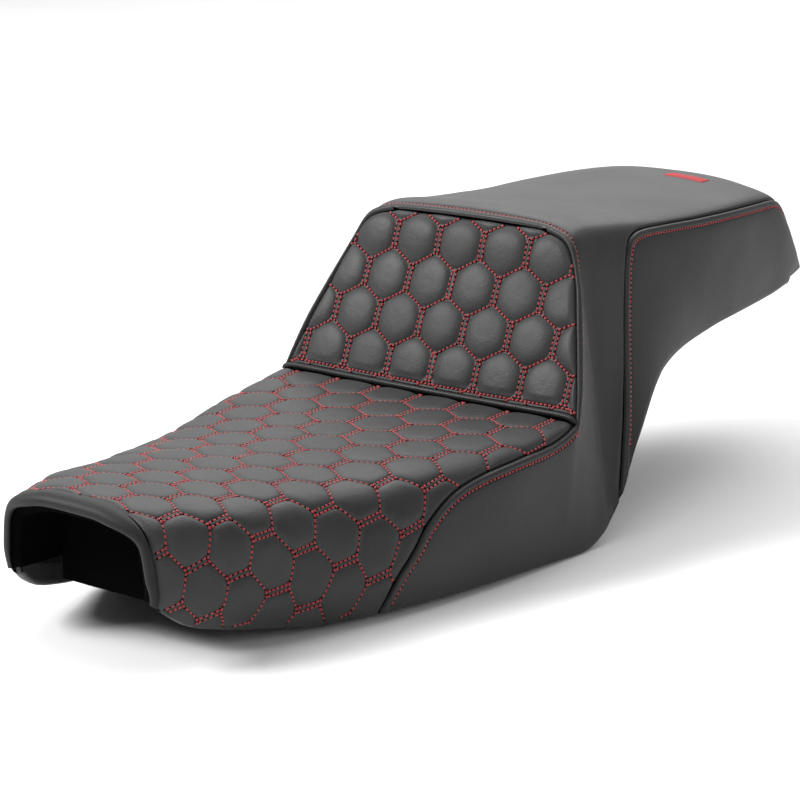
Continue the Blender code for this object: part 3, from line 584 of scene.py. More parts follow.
def lip(d, high=1.5, wide=7.0, stitch=5.6):
    """The folded allowance beside a seam, held by the topstitching."""
    h = high * np.sin(np.pi * np.clip(d / wide, 0, 1)) ** .8
    h = np.where(d > wide, 0, h)
    h = h - 1.0 * np.exp(-((d - stitch) / .9) ** 2)
    return h + edge_roll(d, 2.6, 2.2)


# ------------------------------------------------------------------ hem wrap
def hem_rows(us, sign, which, t=1.5):
    """Rows that carry a cover round the pan's rim and up inside it, out to in."""
    n = len(us)
    outer = surf(us, np.full((n, 1), 1.0 * sign), which)[:, 0]
    rows = []
    rim = surf(us, np.full((n, 1), 1.0 * sign), 'pan')[:, 0]
    rim_n = normals(us, np.full((n, 1), 1.0 * sign), 'pan')[:, 0]
    inner = rim - rim_n * 4.0
    low = np.minimum(outer[:, 2], inner[:, 2])
    for f, dz in ((.12, -.55), (.32, -.95), (.55, -1.1), (.80, -.8)):
        p = outer * (1 - f) + inner * f
        p[:, 2] = np.maximum(p[:, 2] * .4 + low * .6 + dz, -.6)
        rows.append(p)
    for v in (.995, .975, .95, .925, .90):
        q = surf(us, np.full((n, 1), v * sign), 'pan')[:, 0]
        k = normals(us, np.full((n, 1), v * sign), 'pan')[:, 0]
        rows.append(q - k * 4.1)
    return np.stack(rows, 1)


def height_to(p, n, h):
    return p + n * h[..., None]


def smooth_rows(p, centre, reach, weight, rounds=12):
    """Softens a grid along its rows near one row, by weight (rows, cols)."""
    a, b = max(1, centre - reach), min(len(p) - 1, centre + reach)
    for _ in range(rounds):
        q = p.copy()
        q[a:b] = p[a:b] * .5 + (p[a - 1:b - 1] + p[a + 1:b + 1]) * .25
        p = p * (1 - weight[..., None]) + q * weight[..., None]
    return p


# ------------------------------------------------------------------ rider's cover
lat = DriverLattice()
KD_DRV = kd_of([LINE_DRIVER[1], LINE_DRIVER[-1]])
KD_CREASE = kd_of([LINE_CREASE])


def nose_seam(v):
    return np.interp(np.abs(v), [0, .14, .33, .47, .59, 1.0], [8, 8, 4.5, 1.5, .4, .4])


def driver_height(us, V, P, s, t, d_nose):
    i = 1.025 * s / HP
    d1, d2 = cell_distances(i, tau_of_t(t), roundness=9.0)
    h, dl = puff(d1, d2, deep=1.5, dome=.7, k=5.0, m=.62)
    d_seam, d_crease = dist(KD_DRV, P), dist(KD_CREASE, P)
    near = smoothstep(d_seam / 5.0) * smoothstep(d_crease / 4.0) * smoothstep(d_nose / 5)
    h = h * (.35 + .65 * near) + np.where(us[:, None] > 160, edge_roll(d_seam, 2.4, 3.2), 0)
    h += edge_roll(d_crease - 2.0, 2.6, 4.5) + edge_roll(d_nose, 1.6, 4.0)
    return h + value_noise(P, 9.0, 3) * .22 * np.exp(-dl / 6) + value_noise(P, 34.0, 5) * .45 + value_noise(P, 3.2, 9) * .05


us = np.linspace(4.0, 366.3, 350)
m = np.where(us <= 165.0, 1.0, np.clip(pulled(SEAM_DRIVER, np.maximum(us, 165.0), -1, .35), 0, 1))
NV = 421
V = m[:, None] * np.linspace(-1, 1, NV)[None]
# rows near the front slide along the surface towards the nose seam
shift = (nose_seam(V) - 4.0) * smoothstep(1 - (us - 4) / 40)[:, None]
P, N = surf(us, V, 'front'), normals(us, V, 'front')
s, t = lat.st(us, V)
U2 = us[:, None] + shift
k = int(np.searchsorted(us, 45.0))
p_, n_ = points(U2[:k].ravel(), V[:k].ravel(), 'front')
P[:k], N[:k] = p_.reshape(k, NV, 3), n_.reshape(k, NV, 3)
s_, t_ = lat.st(U2[:k].ravel(), V[:k].reshape(-1, 1))
s[:k], t[:k] = s_.reshape(k, NV), t_.reshape(k, NV)
h = driver_height(us, V, P, s, t, U2 - nose_seam(V))
pts = height_to(P, N, h)
quads = [grid_quads(len(us), NV)]
allp = [pts.reshape(-1, 3)]
base = len(us) * NV
nh = int((us <= 164.5).sum())
for sign, col in ((1, NV - 1), (-1, 0)):
    H = hem_rows(us[:nh], sign, 'front')
    k = H.shape[1]
    allp.append(H.reshape(-1, 3))
    edge = np.arange(nh) * NV + col
    idx = np.concatenate([edge[:, None], base + np.arange(nh)[:, None] * k + np.arange(k)[None]], 1)
    q = np.stack([idx[:-1, :-1], idx[:-1, 1:], idx[1:, 1:], idx[1:, :-1]], -1).reshape(-1, 4)
    quads.append(q if sign > 0 else q[:, ::-1])
    base += nh * k
driver = mesh_object('driver_cover_quilted', np.concatenate(allp), np.concatenate(quads), M_QUILT)
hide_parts('driver_cover')

# ------------------------------------------------------------------ backrest cover
KD_SIDE = kd_of([LINE_BACK[1], LINE_BACK[-1]])
KD_TOP = kd_of([LINE_BACKTOP])
T0 = 3.2        # the cover starts this far up from the crease
FOLD = 6.6      # its bottom topstitch


def back_height(P, tt):
    d1, d2 = cell_distances(np.abs(P[..., 0]) / HP, tt / ROW, parity=1, centre=.63, roundness=5.0)
    h, dl = puff(d1, d2, deep=2.0, dome=1.5, k=3.0, m=.72)
    d_edge = np.minimum(dist(KD_SIDE, P), dist(KD_TOP, P))
    near = smoothstep(d_edge / 6.0) * smoothstep((tt - FOLD) / 7.0)
    h = h * (.30 + .70 * near)
    h += edge_roll(d_edge, 2.4, 3.2) - .9 * np.exp(-((tt - FOLD) / 1.0) ** 2) + edge_roll(tt - T0, 1.4, 1.6)
    return h + value_noise(P, 8.0, 13) * .22 * np.exp(-dl / 6) + value_noise(P, 30.0, 15) * .4 + value_noise(P, 3.2, 19) * .05


ub = np.linspace(372.2, 495.3, 190)
mb = pulled(SEAM_BACK, ub, -1, .35)
NB = 381
VB = mb[:, None] * np.linspace(-1, 1, NB)[None]
PB, NBn = surf(ub, VB, 'rear'), normals(ub, VB, 'rear')
tb = np.concatenate([[0], np.cumsum(np.linalg.norm(np.diff(surf(ub, np.zeros((len(ub), 1)), 'rear')[:, 0], axis=0), axis=1))]) + T0
hb = back_height(PB, np.tile(tb[:, None], (1, NB)))
back = mesh_object('backrest_cover_quilted', height_to(PB, NBn, hb).reshape(-1, 3), grid_quads(len(ub), NB), M_QUILT)
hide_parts('backrest_cover')

# ------------------------------------------------------------------ contour tracing for the topstitching
SEAMS_OUT = {s: np.concatenate([LINE_DRIVER[s], LINE_BACK[s]]) for s in (1, -1)}


def trace_v(kd, us_, which, start, away, direction, reach=.16):
    """For each u, the place at the wanted distance from a seam, going up or down in v."""
    out = []
    for u in us_:
        v0 = start(u)
        vs_ = v0 + direction * np.linspace(.004, reach, 60)
        vs_ = vs_[(vs_ >= 0) & (vs_ <= 1)]
        if len(vs_) < 3:
            continue
        d = dist(kd, surf([u], vs_[None], which)[0])
        k = int(np.argmax(d >= away))
        if d[k] < away or k == 0:
            continue
        f = (away - d[k - 1]) / (d[k] - d[k - 1])
        out.append((u, vs_[k - 1] + f * (vs_[k] - vs_[k - 1])))
    return out


def trace_u(kd, vs_in, which, start_u, away, reach=22.0):
    out = []
    for v in vs_in:
        us_ = start_u(v) + np.linspace(.3, reach, 60)
        us_ = us_[us_ < U_END]
        d = dist(kd, surf(us_, np.full((len(us_), 1), v), which)[:, 0])
        k = int(np.argmax(d >= away))
        if d[k] < away or k == 0:
            continue
        f = (away - d[k - 1]) / (d[k] - d[k - 1])
        out.append((us_[k - 1] + f * (us_[k] - us_[k - 1]), v))
    return out


AWAY = 6.3
kd_out = kd_of([LINE_DRIVER[1], LINE_BACK[1], LINE_BACKTOP])
front_part = trace_v(kd_out, np.linspace(168, 368.5, 110), 'front', lambda u: float(seam_v(SEAM_DRIVER, [u])[0]), AWAY, 1)
rear_part = trace_v(kd_out, np.linspace(369.5, 499, 90), 'rear', lambda u: float(seam_v(SEAM_BACK, [min(u, 495.5)])[0]), AWAY, 1, .30)
vend = rear_part[-1][1]
top_part = trace_u(kd_out, np.linspace(vend - .02, 0, 50), 'rear', lambda v: 496.0, AWAY)
OUT_UV = [(u, v, 'front') for u, v in front_part] + [(u, v, 'rear') for u, v in rear_part] + [(u, v, 'rear') for u, v in top_part]


def line_of(uvw, sign):
    out, nor = [], []
    for u, v, w in uvw:
        p, n = points([u], [v * sign], w)
        out.append(p[0])
        nor.append(n[0])
    return np.array(out), np.array(nor)


TOP_OUT = {s: line_of(OUT_UV, s) for s in (1, -1)}
kd_rear = kd_of([LINE_REAR[1]])
ra = trace_v(kd_rear, np.linspace(888, 584, 120), 'rear', lambda u: float(seam_v(SEAM_REAR, [u])[0]), AWAY, 1)
tbl = np.array(SEAM_REAR)
lowv = ra[-1][1]
ti = tbl[:9][::-1]
rb = trace_u(kd_rear, np.linspace(max(lowv + .01, .60), .992, 70), 'rear', lambda v: float(np.interp(v, ti[:, 1], ti[:, 0])), AWAY)
REAR_UV = [(u, v, 'rear') for u, v in ra] + [(u, v, 'rear') for u, v in rb]
TOP_REAR = {s: line_of(REAR_UV, s) for s in (1, -1)}

# ------------------------------------------------------------------ centre cover
kd_top_out = kd_of([TOP_OUT[1][0]])


def smooth_cover_height(p, fold=True):
    a = np.abs(p[..., 0])
    q = p.copy()
    q[..., 0] = a
    d_out = dist(kd_out, q)
    d_st = dist(kd_top_out, q)
    d_re = dist(kd_rear, q)
    r = np.clip(d_out / AWAY, 0, 1)
    hh = 1.35 * np.sin(np.pi * np.clip(r * .92 + .04, 0, 1)) ** .7 * (d_out < AWAY + .6) + edge_roll(d_out, 2.4, 2.0)
    hh = np.where(d_out > AWAY, -.25 * np.exp(-(d_out - AWAY) / 5), hh)
    hh -= .9 * np.exp(-(d_st / .95) ** 2)
    hh += edge_roll(d_re, 2.5, 3.0)
    hh += value_noise(p, 46.0, 21) * .55 + value_noise(p, 17.0, 23) * .12 + value_noise(p, 3.0, 27) * .04
    return hh


K_SIDE = 74
u1 = np.linspace(165.6, U_CREASE, 112)
u2 = np.concatenate([np.linspace(U_CREASE, 486, 82)[1:], np.linspace(486, 496.5, 14)[1:]])
u3 = np.concatenate([np.linspace(496.5, 520, 22)[1:], np.linspace(520, 600, 52)[1:], np.linspace(600, 780, 84)[1:], np.linspace(780, 894.5, 72)[1:]])


def hi_of(u):
    u = np.atleast_1d(u)
    return np.where(u <= 512.6, 1.0, np.clip(pulled(SEAM_REAR, np.maximum(u, 512.1), -1, .35), 0, 1))


allp, allq, base = [], [], 0
ease = np.linspace(0, 1, K_SIDE) ** 1.25        # finer beside the seam
for sign in (1, -1):
    lo1 = np.clip(pulled(SEAM_DRIVER, u1, 1, .35), 0, .996)
    lo2 = pulled(SEAM_BACK, np.minimum(u2, 495.0), 1, .35)
    Va = (lo1[:, None] + (1 - lo1)[:, None] * ease[None])
    Vb = (lo2[:, None] + (1 - lo2)[:, None] * ease[None])
    Pa, Na = surf(u1, Va * sign, 'front'), normals(u1, Va * sign, 'front')
    Pb, Nb_ = surf(u2, Vb * sign, 'rear'), normals(u2, Vb * sign, 'rear')
    Nx = normals(np.array([U_CREASE]), Va[-1:] * sign, 'rear')
    Na[-1] = (Na[-1] + Nx[0]) / np.maximum(np.linalg.norm(Na[-1] + Nx[0], axis=-1, keepdims=True), 1e-9)
    PP, NN = np.concatenate([Pa, Pb]), np.concatenate([Na, Nb_])
    c = len(u1) - 1
    w = np.exp(-((np.arange(len(PP)) - c) / 9.0) ** 2)[:, None] * smoothstep((np.concatenate([Va, Vb]) - .50) / .06)
    PP = smooth_rows(PP, c, 26, w, 30)
    G = grid_normals(PP if sign > 0 else PP[:, ::-1])
    G = G if sign > 0 else G[:, ::-1]
    hh = smooth_cover_height(PP)
    pp = height_to(PP, NN * (1 - w[..., None]) + G * w[..., None], hh)
    uu = np.concatenate([u1, u2])
    H = hem_rows(uu, sign, 'front')
    Hr = hem_rows(uu, sign, 'rear')
    H = np.where((uu > U_CREASE)[:, None, None], Hr, H)
    full = np.concatenate([pp, H], 1)
    if sign < 0:
        full = full[:, ::-1]
    allp.append(full.reshape(-1, 3))
    allq.append(grid_quads(*full.shape[:2], base=base))
    base += full.shape[0] * full.shape[1]
split = float(pulled(SEAM_BACK, [495.0], 1, .35)[0])
u3f = np.concatenate([[496.5], u3])
rows = []
NMID = 61
for u in u3f:
    hgh = float(hi_of(u)[0])
    ins = min(split, hgh * .5) if u > 496.6 else split
    side = ins + (hgh - ins) * ease
    mid = np.linspace(-ins, ins, NMID)
    rows.append(np.concatenate([-side[:0:-1], mid, side[1:]]))
V3 = np.array(rows)
P3_, N3_ = surf(u3f, V3, 'rear'), normals(u3f, V3, 'rear')
p3 = height_to(P3_, N3_, smooth_cover_height(P3_))
# the first row takes the strips' own edge, so the join closes
strip_last = {1: allp[0].reshape(len(u1) + len(u2), -1, 3)[-1], -1: allp[1].reshape(len(u1) + len(u2), -1, 3)[-1]}
kh = strip_last[1].shape[0] - K_SIDE
p3[0, -K_SIDE:] = strip_last[1][:K_SIDE]
p3[0, :K_SIDE] = strip_last[-1][-K_SIDE:]
allp.append(p3.reshape(-1, 3))
allq.append(grid_quads(*p3.shape[:2], base=base))
base += p3.shape[0] * p3.shape[1]
# short stretch of hem between the strips' end and the rear seam
uh = u3f[u3f <= 512.4]
for sign in (1, -1):
    H = hem_rows(uh, sign, 'rear')
    H = np.concatenate([p3[:len(uh), -1:] if sign > 0 else p3[:len(uh), :1], H], 1)
    if sign < 0:
        H = H[:, ::-1]
    allp.append(H.reshape(-1, 3))
    allq.append(grid_quads(*H.shape[:2], base=base))
    base += H.shape[0] * H.shape[1]
# the tail's end turned under: rows beyond the last distance, down and in below the pan
E = p3[-1]
inn = surf(np.array([888.0]), V3[-1:], 'pan')[0]
inn_n = normals(np.array([888.0]), V3[-1:], 'pan')[0]
tail_rows = [E]
for f, dz in ((.15, -1.2), (.4, -2.2), (.75, -2.4), (1.0, -1.6)):
    q = E * (1 - f) + (inn - inn_n * 3.4) * f
    q[:, 2] += dz
    tail_rows.append(q)
T_ = np.stack(tail_rows)
allp.append(T_.reshape(-1, 3))
allq.append(grid_quads(*T_.shape[:2], base=base))
centre = mesh_object('centre_cover_smooth', np.concatenate(allp), np.concatenate(allq), M_SMOOTH)
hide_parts('centre_cover')

# ------------------------------------------------------------------ rear side covers
kd_top_rear = kd_of([TOP_REAR[1][0]])
ur = np.concatenate([np.linspace(514, 540, 16), np.linspace(540, 582, 46)[1:], np.linspace(582, 894.5, 150)[1:]])
lor = np.clip(pulled(SEAM_REAR, ur, 1, .35), 0, .996)
for sign, nm in ((1, 'left'), (-1, 'right')):
    Vr = lor[:, None] + (1 - lor)[:, None] * (np.linspace(0, 1, 66) ** 1.2)[None]
    Pr, Nr = surf(ur, Vr * sign, 'rear'), normals(ur, Vr * sign, 'rear')
    q = Pr.copy()
    q[..., 0] = np.abs(q[..., 0])
    d_re, d_st = dist(kd_rear, q), dist(kd_top_rear, q)
    hr = .8 * np.sin(np.pi * np.clip(d_re / AWAY * .92 + .04, 0, 1)) ** .7 * (d_re < AWAY + .6) + edge_roll(d_re, 2.4, 2.2)
    hr = np.where(d_re > AWAY, -.2 * np.exp(-(d_re - AWAY) / 5), hr) - .8 * np.exp(-(d_st / .95) ** 2)
    hr += value_noise(Pr, 46.0, 31) * .5 + value_noise(Pr, 17.0, 33) * .12 + value_noise(Pr, 3.0, 37) * .04
    pp = height_to(Pr, Nr, hr)
    full = np.concatenate([pp, hem_rows(ur, sign, 'rear')], 1)
    if sign < 0:
        full = full[:, ::-1]
    ob = mesh_object('rear_side_cover_' + nm, full.reshape(-1, 3), grid_quads(*full.shape[:2]), M_SMOOTH)
    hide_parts('rear_side_panel_' + nm, 'hem_strip_rear_' + nm)
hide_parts('hem_strip_front_left', 'hem_strip_front_right')


# ------------------------------------------------------------------ nose binding
NVB = 181
vb = np.linspace(-1, 1, NVB)
ns = nose_seam(vb)
rows, steps = [], 5
front = surf(np.array([0.0]), vb[None], 'front')[0]
fn = normals(np.array([0.0]), vb[None], 'front')[0]
run = np.gradient(front, axis=0)
run /= np.linalg.norm(run, axis=1, keepdims=True)
inw = np.stack([run[:, 2] * 1.0, 0 * run[:, 0], -run[:, 0]], 1)
flip = (inw * (np.array([0, 0, 60.0]) - front * np.array([1, 0, 1]))).sum(1) < 0
inw[flip] *= -1
for k in range(steps + 1):
    f = k / steps
    pp = np.array([surf(np.array([max(0.0, (n - .7) * (1 - f))]), np.array([[v]]), 'front')[0, 0] for n, v in zip(ns, vb)])
    d = (ns - .7) * f
    rows.append(pp + fn * (edge_roll(d, 1.8, 2.6) + .35 * f)[:, None])
av = np.abs(vb)
FWD = 8.2 - 4.0 * smoothstep((av - .25) / .35) - 2.0 * smoothstep((av - .80) / .20)
EDGE_IN = 5.6 - 1.0 * smoothstep((av - .25) / .35) - 1.2 * smoothstep((av - .80) / .20)
for a in np.radians([12, 26, 40, 54, 68, 80, 90, 102, 114]):
    rows.append(front + fn * .35 * math.cos(a) + np.array([0, -1, 0]) * (FWD * math.sin(a))[:, None] + inw * (EDGE_IN * (1 - math.cos(a)))[:, None])
for k_, ins in ((.62, 1.42), (.3, 1.46)):
    rows.append(front + np.array([0, -1, 0]) * (FWD * k_)[:, None] + inw * (EDGE_IN * ins)[:, None])
G = np.stack(rows)
G = G + grid_normals(G)[..., :] * (value_noise(G, 16.0, 41) * .18 + value_noise(G, 40.0, 43) * .35)[..., None]
R_ = len(rows)
q = [grid_quads(R_, NVB)[:, ::-1]]
for c in (0, NVB - 1):
    for r in range(R_ // 2 - 1):
        a, b, e, f = r * NVB + c, (r + 1) * NVB + c, (R_ - 2 - r) * NVB + c, (R_ - 1 - r) * NVB + c
        q.append(np.array([[a, b, e, f] if c else [f, e, b, a]]))
bind = mesh_object('nose_binding_roll', G.reshape(-1, 3), np.concatenate(q), M_BIND)
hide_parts('nose_binding')

# painted shade: a near-black sheet closing the mouth of the nose, back to the pan's bulkhead, standing in for the shade
# inside the opening
lin = [rows[-1] + inw * .1 + np.array([0, -1.2, 0])]
for f in np.concatenate([np.linspace(0, .12, 6), np.linspace(.2, 1, 8)]):
    depth = EDGE_IN * 1.5 + (12.6 - EDGE_IN * 1.5) * smoothstep(np.array(f / .10)) + 5.5 * f
    lin.append(front + inw * depth[:, None] + np.array([0, 1, 0]) * (-FWD * .3 * (1 - f) + 34.0 * max(0, f - .03))[:, None])
arch = lin[-1]
floor_z = arch[[0, -1], 2].mean() - 15.0
for f in np.linspace(.06, 1, 16):
    q_ = arch.copy()
    q_[:, 2] = arch[:, 2] * (1 - f) + floor_z * f
    q_[:, 1] += .6 * math.sin(np.pi * f)
    lin.append(q_)
LN = np.stack(lin)
mesh_object('nose_painted_shade_sheet', LN.reshape(-1, 3), grid_quads(len(lin), NVB)[:, ::-1], M_NOSE_SHADE_SHEET)

# ------------------------------------------------------------------ folded roll in the crease
nw = 170
vw = np.linspace(-.482, .482, nw)
uw = np.full(nw, U_CREASE)
cr, up = points(uw, vw, 'front')
bk = normals(uw, vw[:, None], 'rear')[:, 0]
lift = up + bk
lift /= np.linalg.norm(lift, axis=1, keepdims=True)
hs = np.clip((up * lift).sum(1), .4, 1)
taper = np.sqrt(np.clip(1 - (np.abs(vw) / .486) ** 14, .02, 1))
ctr = cr + lift * (2.1 / hs)[:, None] * (.5 + .5 * taper)[:, None]
tan = np.gradient(ctr, axis=0)
tan /= np.linalg.norm(tan, axis=1, keepdims=True)
side_ = np.cross(tan, bk)
side_ /= np.linalg.norm(side_, axis=1, keepdims=True)
face_ = np.cross(side_, tan)
ring = []
for a in np.linspace(0, 2 * np.pi, 19)[:-1]:
    wav = 1 + .05 * value_noise(ctr, 12.0, 51)
    ring.append(ctr + (side_ * 2.0 * math.cos(a) + face_ * 1.9 * math.sin(a)) * (taper * wav)[:, None])
W = np.stack(ring, 1)
W = np.concatenate([W, W[:, :1]], 1)
welt = mesh_object('backrest_fold_roll', W.reshape(-1, 3), grid_quads(nw, 19), M_WELT)
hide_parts('backrest_welt')

# ------------------------------------------------------------------ stitching
PITCH = 3.6
xs_ = np.array([-.5, -.36, -.15, .15, .36, .5]) * 2.9
rad = np.array([.36, .70, .82, .82, .70, .36])
arc = np.array([-.50, -.02, .22, .22, -.02, -.50])
NS = 7
ang = np.linspace(0, 2 * np.pi, NS + 1)[:-1]
T_V = np.array([[x, r * math.cos(a), z + .85 * r * math.sin(a)] for x, r, z in zip(xs_, rad, arc) for a in ang])
T_Q = np.array([[k * NS + j, k * NS + (j + 1) % NS, (k + 1) * NS + (j + 1) % NS, (k + 1) * NS + j]
                for k in range(len(xs_) - 1) for j in range(NS)])
# small dark cap over each needle hole: painted shade in place of the hole's shadow
H_V = np.array([[0, 0, .50]] + [[.80 * math.cos(a), .86 * math.sin(a), .22] for a in ang])
H_T = np.array([[0, 1 + j, 1 + (j + 1) % NS] for j in range(NS)])


def frames(mid, tan, nor):
    tan = tan / np.maximum(np.linalg.norm(tan, axis=1, keepdims=True), 1e-9)
    nor = nor - tan * (nor * tan).sum(1, keepdims=True)
    nor /= np.maximum(np.linalg.norm(nor, axis=1, keepdims=True), 1e-9)
    return np.stack([tan, np.cross(nor, tan), nor], 2)


def stamp(template, faces, mid, fr, scale=1.0):
    v = np.einsum('nij,kj->nki', fr, template * scale) + mid[:, None]
    f = faces[None] + (np.arange(len(mid)) * len(template))[:, None, None]
    return v.reshape(-1, 3), f.reshape(-1, faces.shape[1])


class Stitching:
    def __init__(self):
        self.m, self.t, self.n = [], [], []
        self.hm, self.ht, self.hn = [], [], []

    def line(self, p, n, raise_by=.32, pitch=PITCH):
        d = np.concatenate([[0], np.cumsum(np.linalg.norm(np.diff(p, axis=0), axis=1))])
        if d[-1] < 2.2:
            return
        k = max(1, int(round(d[-1] / pitch)))
        st = d[-1] / k
        at = (np.arange(k) + .5) * st
        at_h = np.arange(k + 1) * st
        ev = lambda a, q: np.stack([np.interp(a, d, q[:, c]) for c in range(3)], 1)
        e = .6
        mid, nor = ev(at, p), ev(at, n)
        tan = ev(np.minimum(at + e, d[-1]), p) - ev(np.maximum(at - e, 0), p)
        # thread lies a little askew, as a lockstitch does
        cr_ = np.cross(nor, tan)
        cr_ /= np.maximum(np.linalg.norm(cr_, axis=1, keepdims=True), 1e-9)
        ln = np.linalg.norm(tan, axis=1, keepdims=True)
        tan = tan + cr_ * ln * (.10 + .05 * rng.standard_normal((k, 1)))
        self.m.append(mid + nor * raise_by + nor * .05 * rng.standard_normal((k, 1)))
        self.t.append(tan)
        self.n.append(nor)
        self.hm.append(ev(at_h, p) + ev(at_h, n) * (raise_by + .02))
        self.ht.append(ev(np.minimum(at_h + e, d[-1]), p) - ev(np.maximum(at_h - e, 0), p))
        self.hn.append(ev(at_h, n))

    def build(self, name):
        mid, tan, nor = (np.concatenate(q) for q in (self.m, self.t, self.n))
        v, f = stamp(T_V, T_Q, mid, frames(mid, tan, nor))
        a = mesh_object(name, v, f, M_THREAD)
        mid, tan, nor = (np.concatenate(q) for q in (self.hm, self.ht, self.hn))
        v, f = stamp(H_V, H_T, mid, frames(mid, tan, nor))
        b = mesh_object(name + '_needle_hole_shade', v, f, M_NEEDLE_HOLE_SHADE)
        return a, b


def runs(ok):
    """Start and stop of each unbroken stretch of True."""
    e = np.flatnonzero(np.diff(np.concatenate([[0], ok.astype(int), [0]])))
    return list(zip(e[::2], e[1::2]))


def lattice_edges(cols, rows_, centre, scale):
    """Twin straight seams and single sloped ones as (across mm, along rows) pairs, left half."""
    out = []
    tw = TWIN * scale
    hp = HP * scale
    for n in rows_:
        for c in range(0, cols + 1):
            if (c - n) % 2:
                continue
            for off in ((tw,) if c == 0 else (-tw, tw)):
                out.append(((c * hp + off, n + centre - EDGE), (c * hp + off, n + centre + EDGE)))
            for dc in (1, -1):
                if c + dc < 0:
                    continue
                out.append(((c * hp, n + centre + EDGE), ((c + dc) * hp, n + 1 + centre - EDGE)))
    return out


quilt = Stitching()
for (s0, a0), (s1, a1) in lattice_edges(11, range(-1, 18), .5, 1 / 1.025):
    k = 34
    f = np.linspace(0, 1, k)
    ss, tt = s0 + (s1 - s0) * f, t_of_tau(a0 + (a1 - a0) * f)
    u_, v_ = lat.uv(ss, tt)
    ok = ~np.isnan(u_) & ~np.isnan(v_)
    u2_, v2_ = np.where(ok, u_, 100.0), np.where(ok, v_, .5)
    lim = np.where(u2_ <= 165, .992, np.clip(pulled(SEAM_DRIVER, np.maximum(u2_, 165), -1, 1.6), 0, 1))
    ok &= (v2_ < lim) & (u2_ < 364.6) & (u2_ > nose_seam(v2_) + 2.0)
    for a, b in runs(ok):
        if b - a < 3:
            continue
        ua, va = u2_[a:b], v2_[a:b]
        for sign in (1, -1):
            p, n = points(ua, va * sign, 'front')
            hh = driver_height(ua, (va * sign)[:, None], p[:, None], ss[a:b][:, None], tt[a:b][:, None], (ua - nose_seam(va))[:, None])[:, 0]
            quilt.line(p + n * hh[:, None], n)
quilt.build('driver_quilt_stitching')

quilt_b = Stitching()
ucol = ub
for (x0, a0), (x1, a1) in lattice_edges(7, range(-1, 5), .63, 1.0):
    f = np.linspace(0, 1, 34)
    xx, tt = x0 + (x1 - x0) * f, (a0 + (a1 - a0) * f) * ROW
    uu = np.interp(tt, tb, ub)
    mm_ = pulled(SEAM_BACK, uu, -1, .35)
    vv = np.array([np.interp(x, surf([u], np.linspace(0, .5, 120)[None], 'rear')[0, :, 0], np.linspace(0, .5, 120)) for u, x in zip(uu, xx)])
    ok = (tt > T0 + .8) & (tt < tb[-1] - 1.2) & (vv < pulled(SEAM_BACK, uu, -1, 1.6))
    for a, b in runs(ok):
        if b - a < 3:
            continue
        for sign in (1, -1):
            p, n = points(uu[a:b], vv[a:b] * sign, 'rear')
            hh = back_height(p[:, None], tt[a:b][:, None])[:, 0]
            quilt_b.line(p + n * hh[:, None], n)
# the stitched fold along the backrest's foot
vf = np.linspace(-.475, .475, 240)
uf = np.full(240, float(np.interp(FOLD, tb, ub)))
mf = float(pulled(SEAM_BACK, uf[:1], -1, 2.0)[0])
vf = np.clip(vf, -mf, mf)
p, n = points(uf, vf, 'rear')
quilt_b.line(p + n * back_height(p[:, None], np.full((240, 1), FOLD))[:, 0][:, None], n)
quilt_b.build('backrest_quilt_stitching')

tops = Stitching()
for sign in (1, -1):
    p, n = TOP_OUT[sign]
    tops.line(p + n * smooth_cover_height(p)[:, None], n, raise_by=.38, pitch=3.5)
    p, n = TOP_REAR[sign]
    q = p.copy()
    q[:, 0] = np.abs(q[:, 0])
    tops.line(p - n * .9, n, raise_by=.45, pitch=3.5)
tops.build('panel_topstitching')

# ------------------------------------------------------------------ plain sewn label
ul, vl = np.linspace(743.5, 757.5, 26), np.linspace(.038, .157, 70)
PL, NL = surf(ul, np.tile(vl, (26, 1)), 'rear'), normals(ul, np.tile(vl, (26, 1)), 'rear')
ex = np.minimum(np.arange(26), 25 - np.arange(26))[:, None] / 2.0
ey = np.minimum(np.arange(70), 69 - np.arange(70))[None] / 2.0
hl = smooth_cover_height(PL) + .9 * np.clip(np.minimum(ex, ey), 0, 1) ** .5 - .25
hl += .10 * np.sin(PL[..., 0] * 2 * np.pi / 1.1) * np.clip(np.minimum(ex, ey), 0, 1)
label = mesh_object('tail_label_woven', height_to(PL, NL, hl).reshape(-1, 3), grid_quads(26, 70), M_LABEL)
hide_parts('tail_label')

# ------------------------------------------------------------------ foam under the covers
for name, ua, ubb, which in (('driver_foam', 6, 366, 'front'), ('step_foam', 372, 498, 'rear'), ('passenger_foam', 504, 889, 'rear')):
    uu = np.linspace(ua, ubb, max(24, int((ubb - ua) / 6)))
    vv = np.linspace(-.93, .93, 75)
    VV = np.tile(vv, (len(uu), 1))
    o, no = surf(uu, VV, which), normals(uu, VV, which)
    i_, ni = surf(uu, VV, 'pan'), normals(uu, VV, 'pan')
    o = o - no * 4.2
    i_ = i_ + ni * 1.6
    ringp = np.concatenate([o, i_[:, ::-1], o[:, :1]], 1)
    q = [grid_quads(*ringp.shape[:2])]
    nc = ringp.shape[1]
    for r in (0, len(uu) - 1):
        for c in range(74):
            a = r * nc
            f = [a + c, a + c + 1, a + 148 - c, a + 149 - c]
            q.append(np.array([f if r else f[::-1]]))
    fo = mesh_object(name + '_block', ringp.reshape(-1, 3), np.concatenate(q), M_FOAM)
    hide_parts(name)

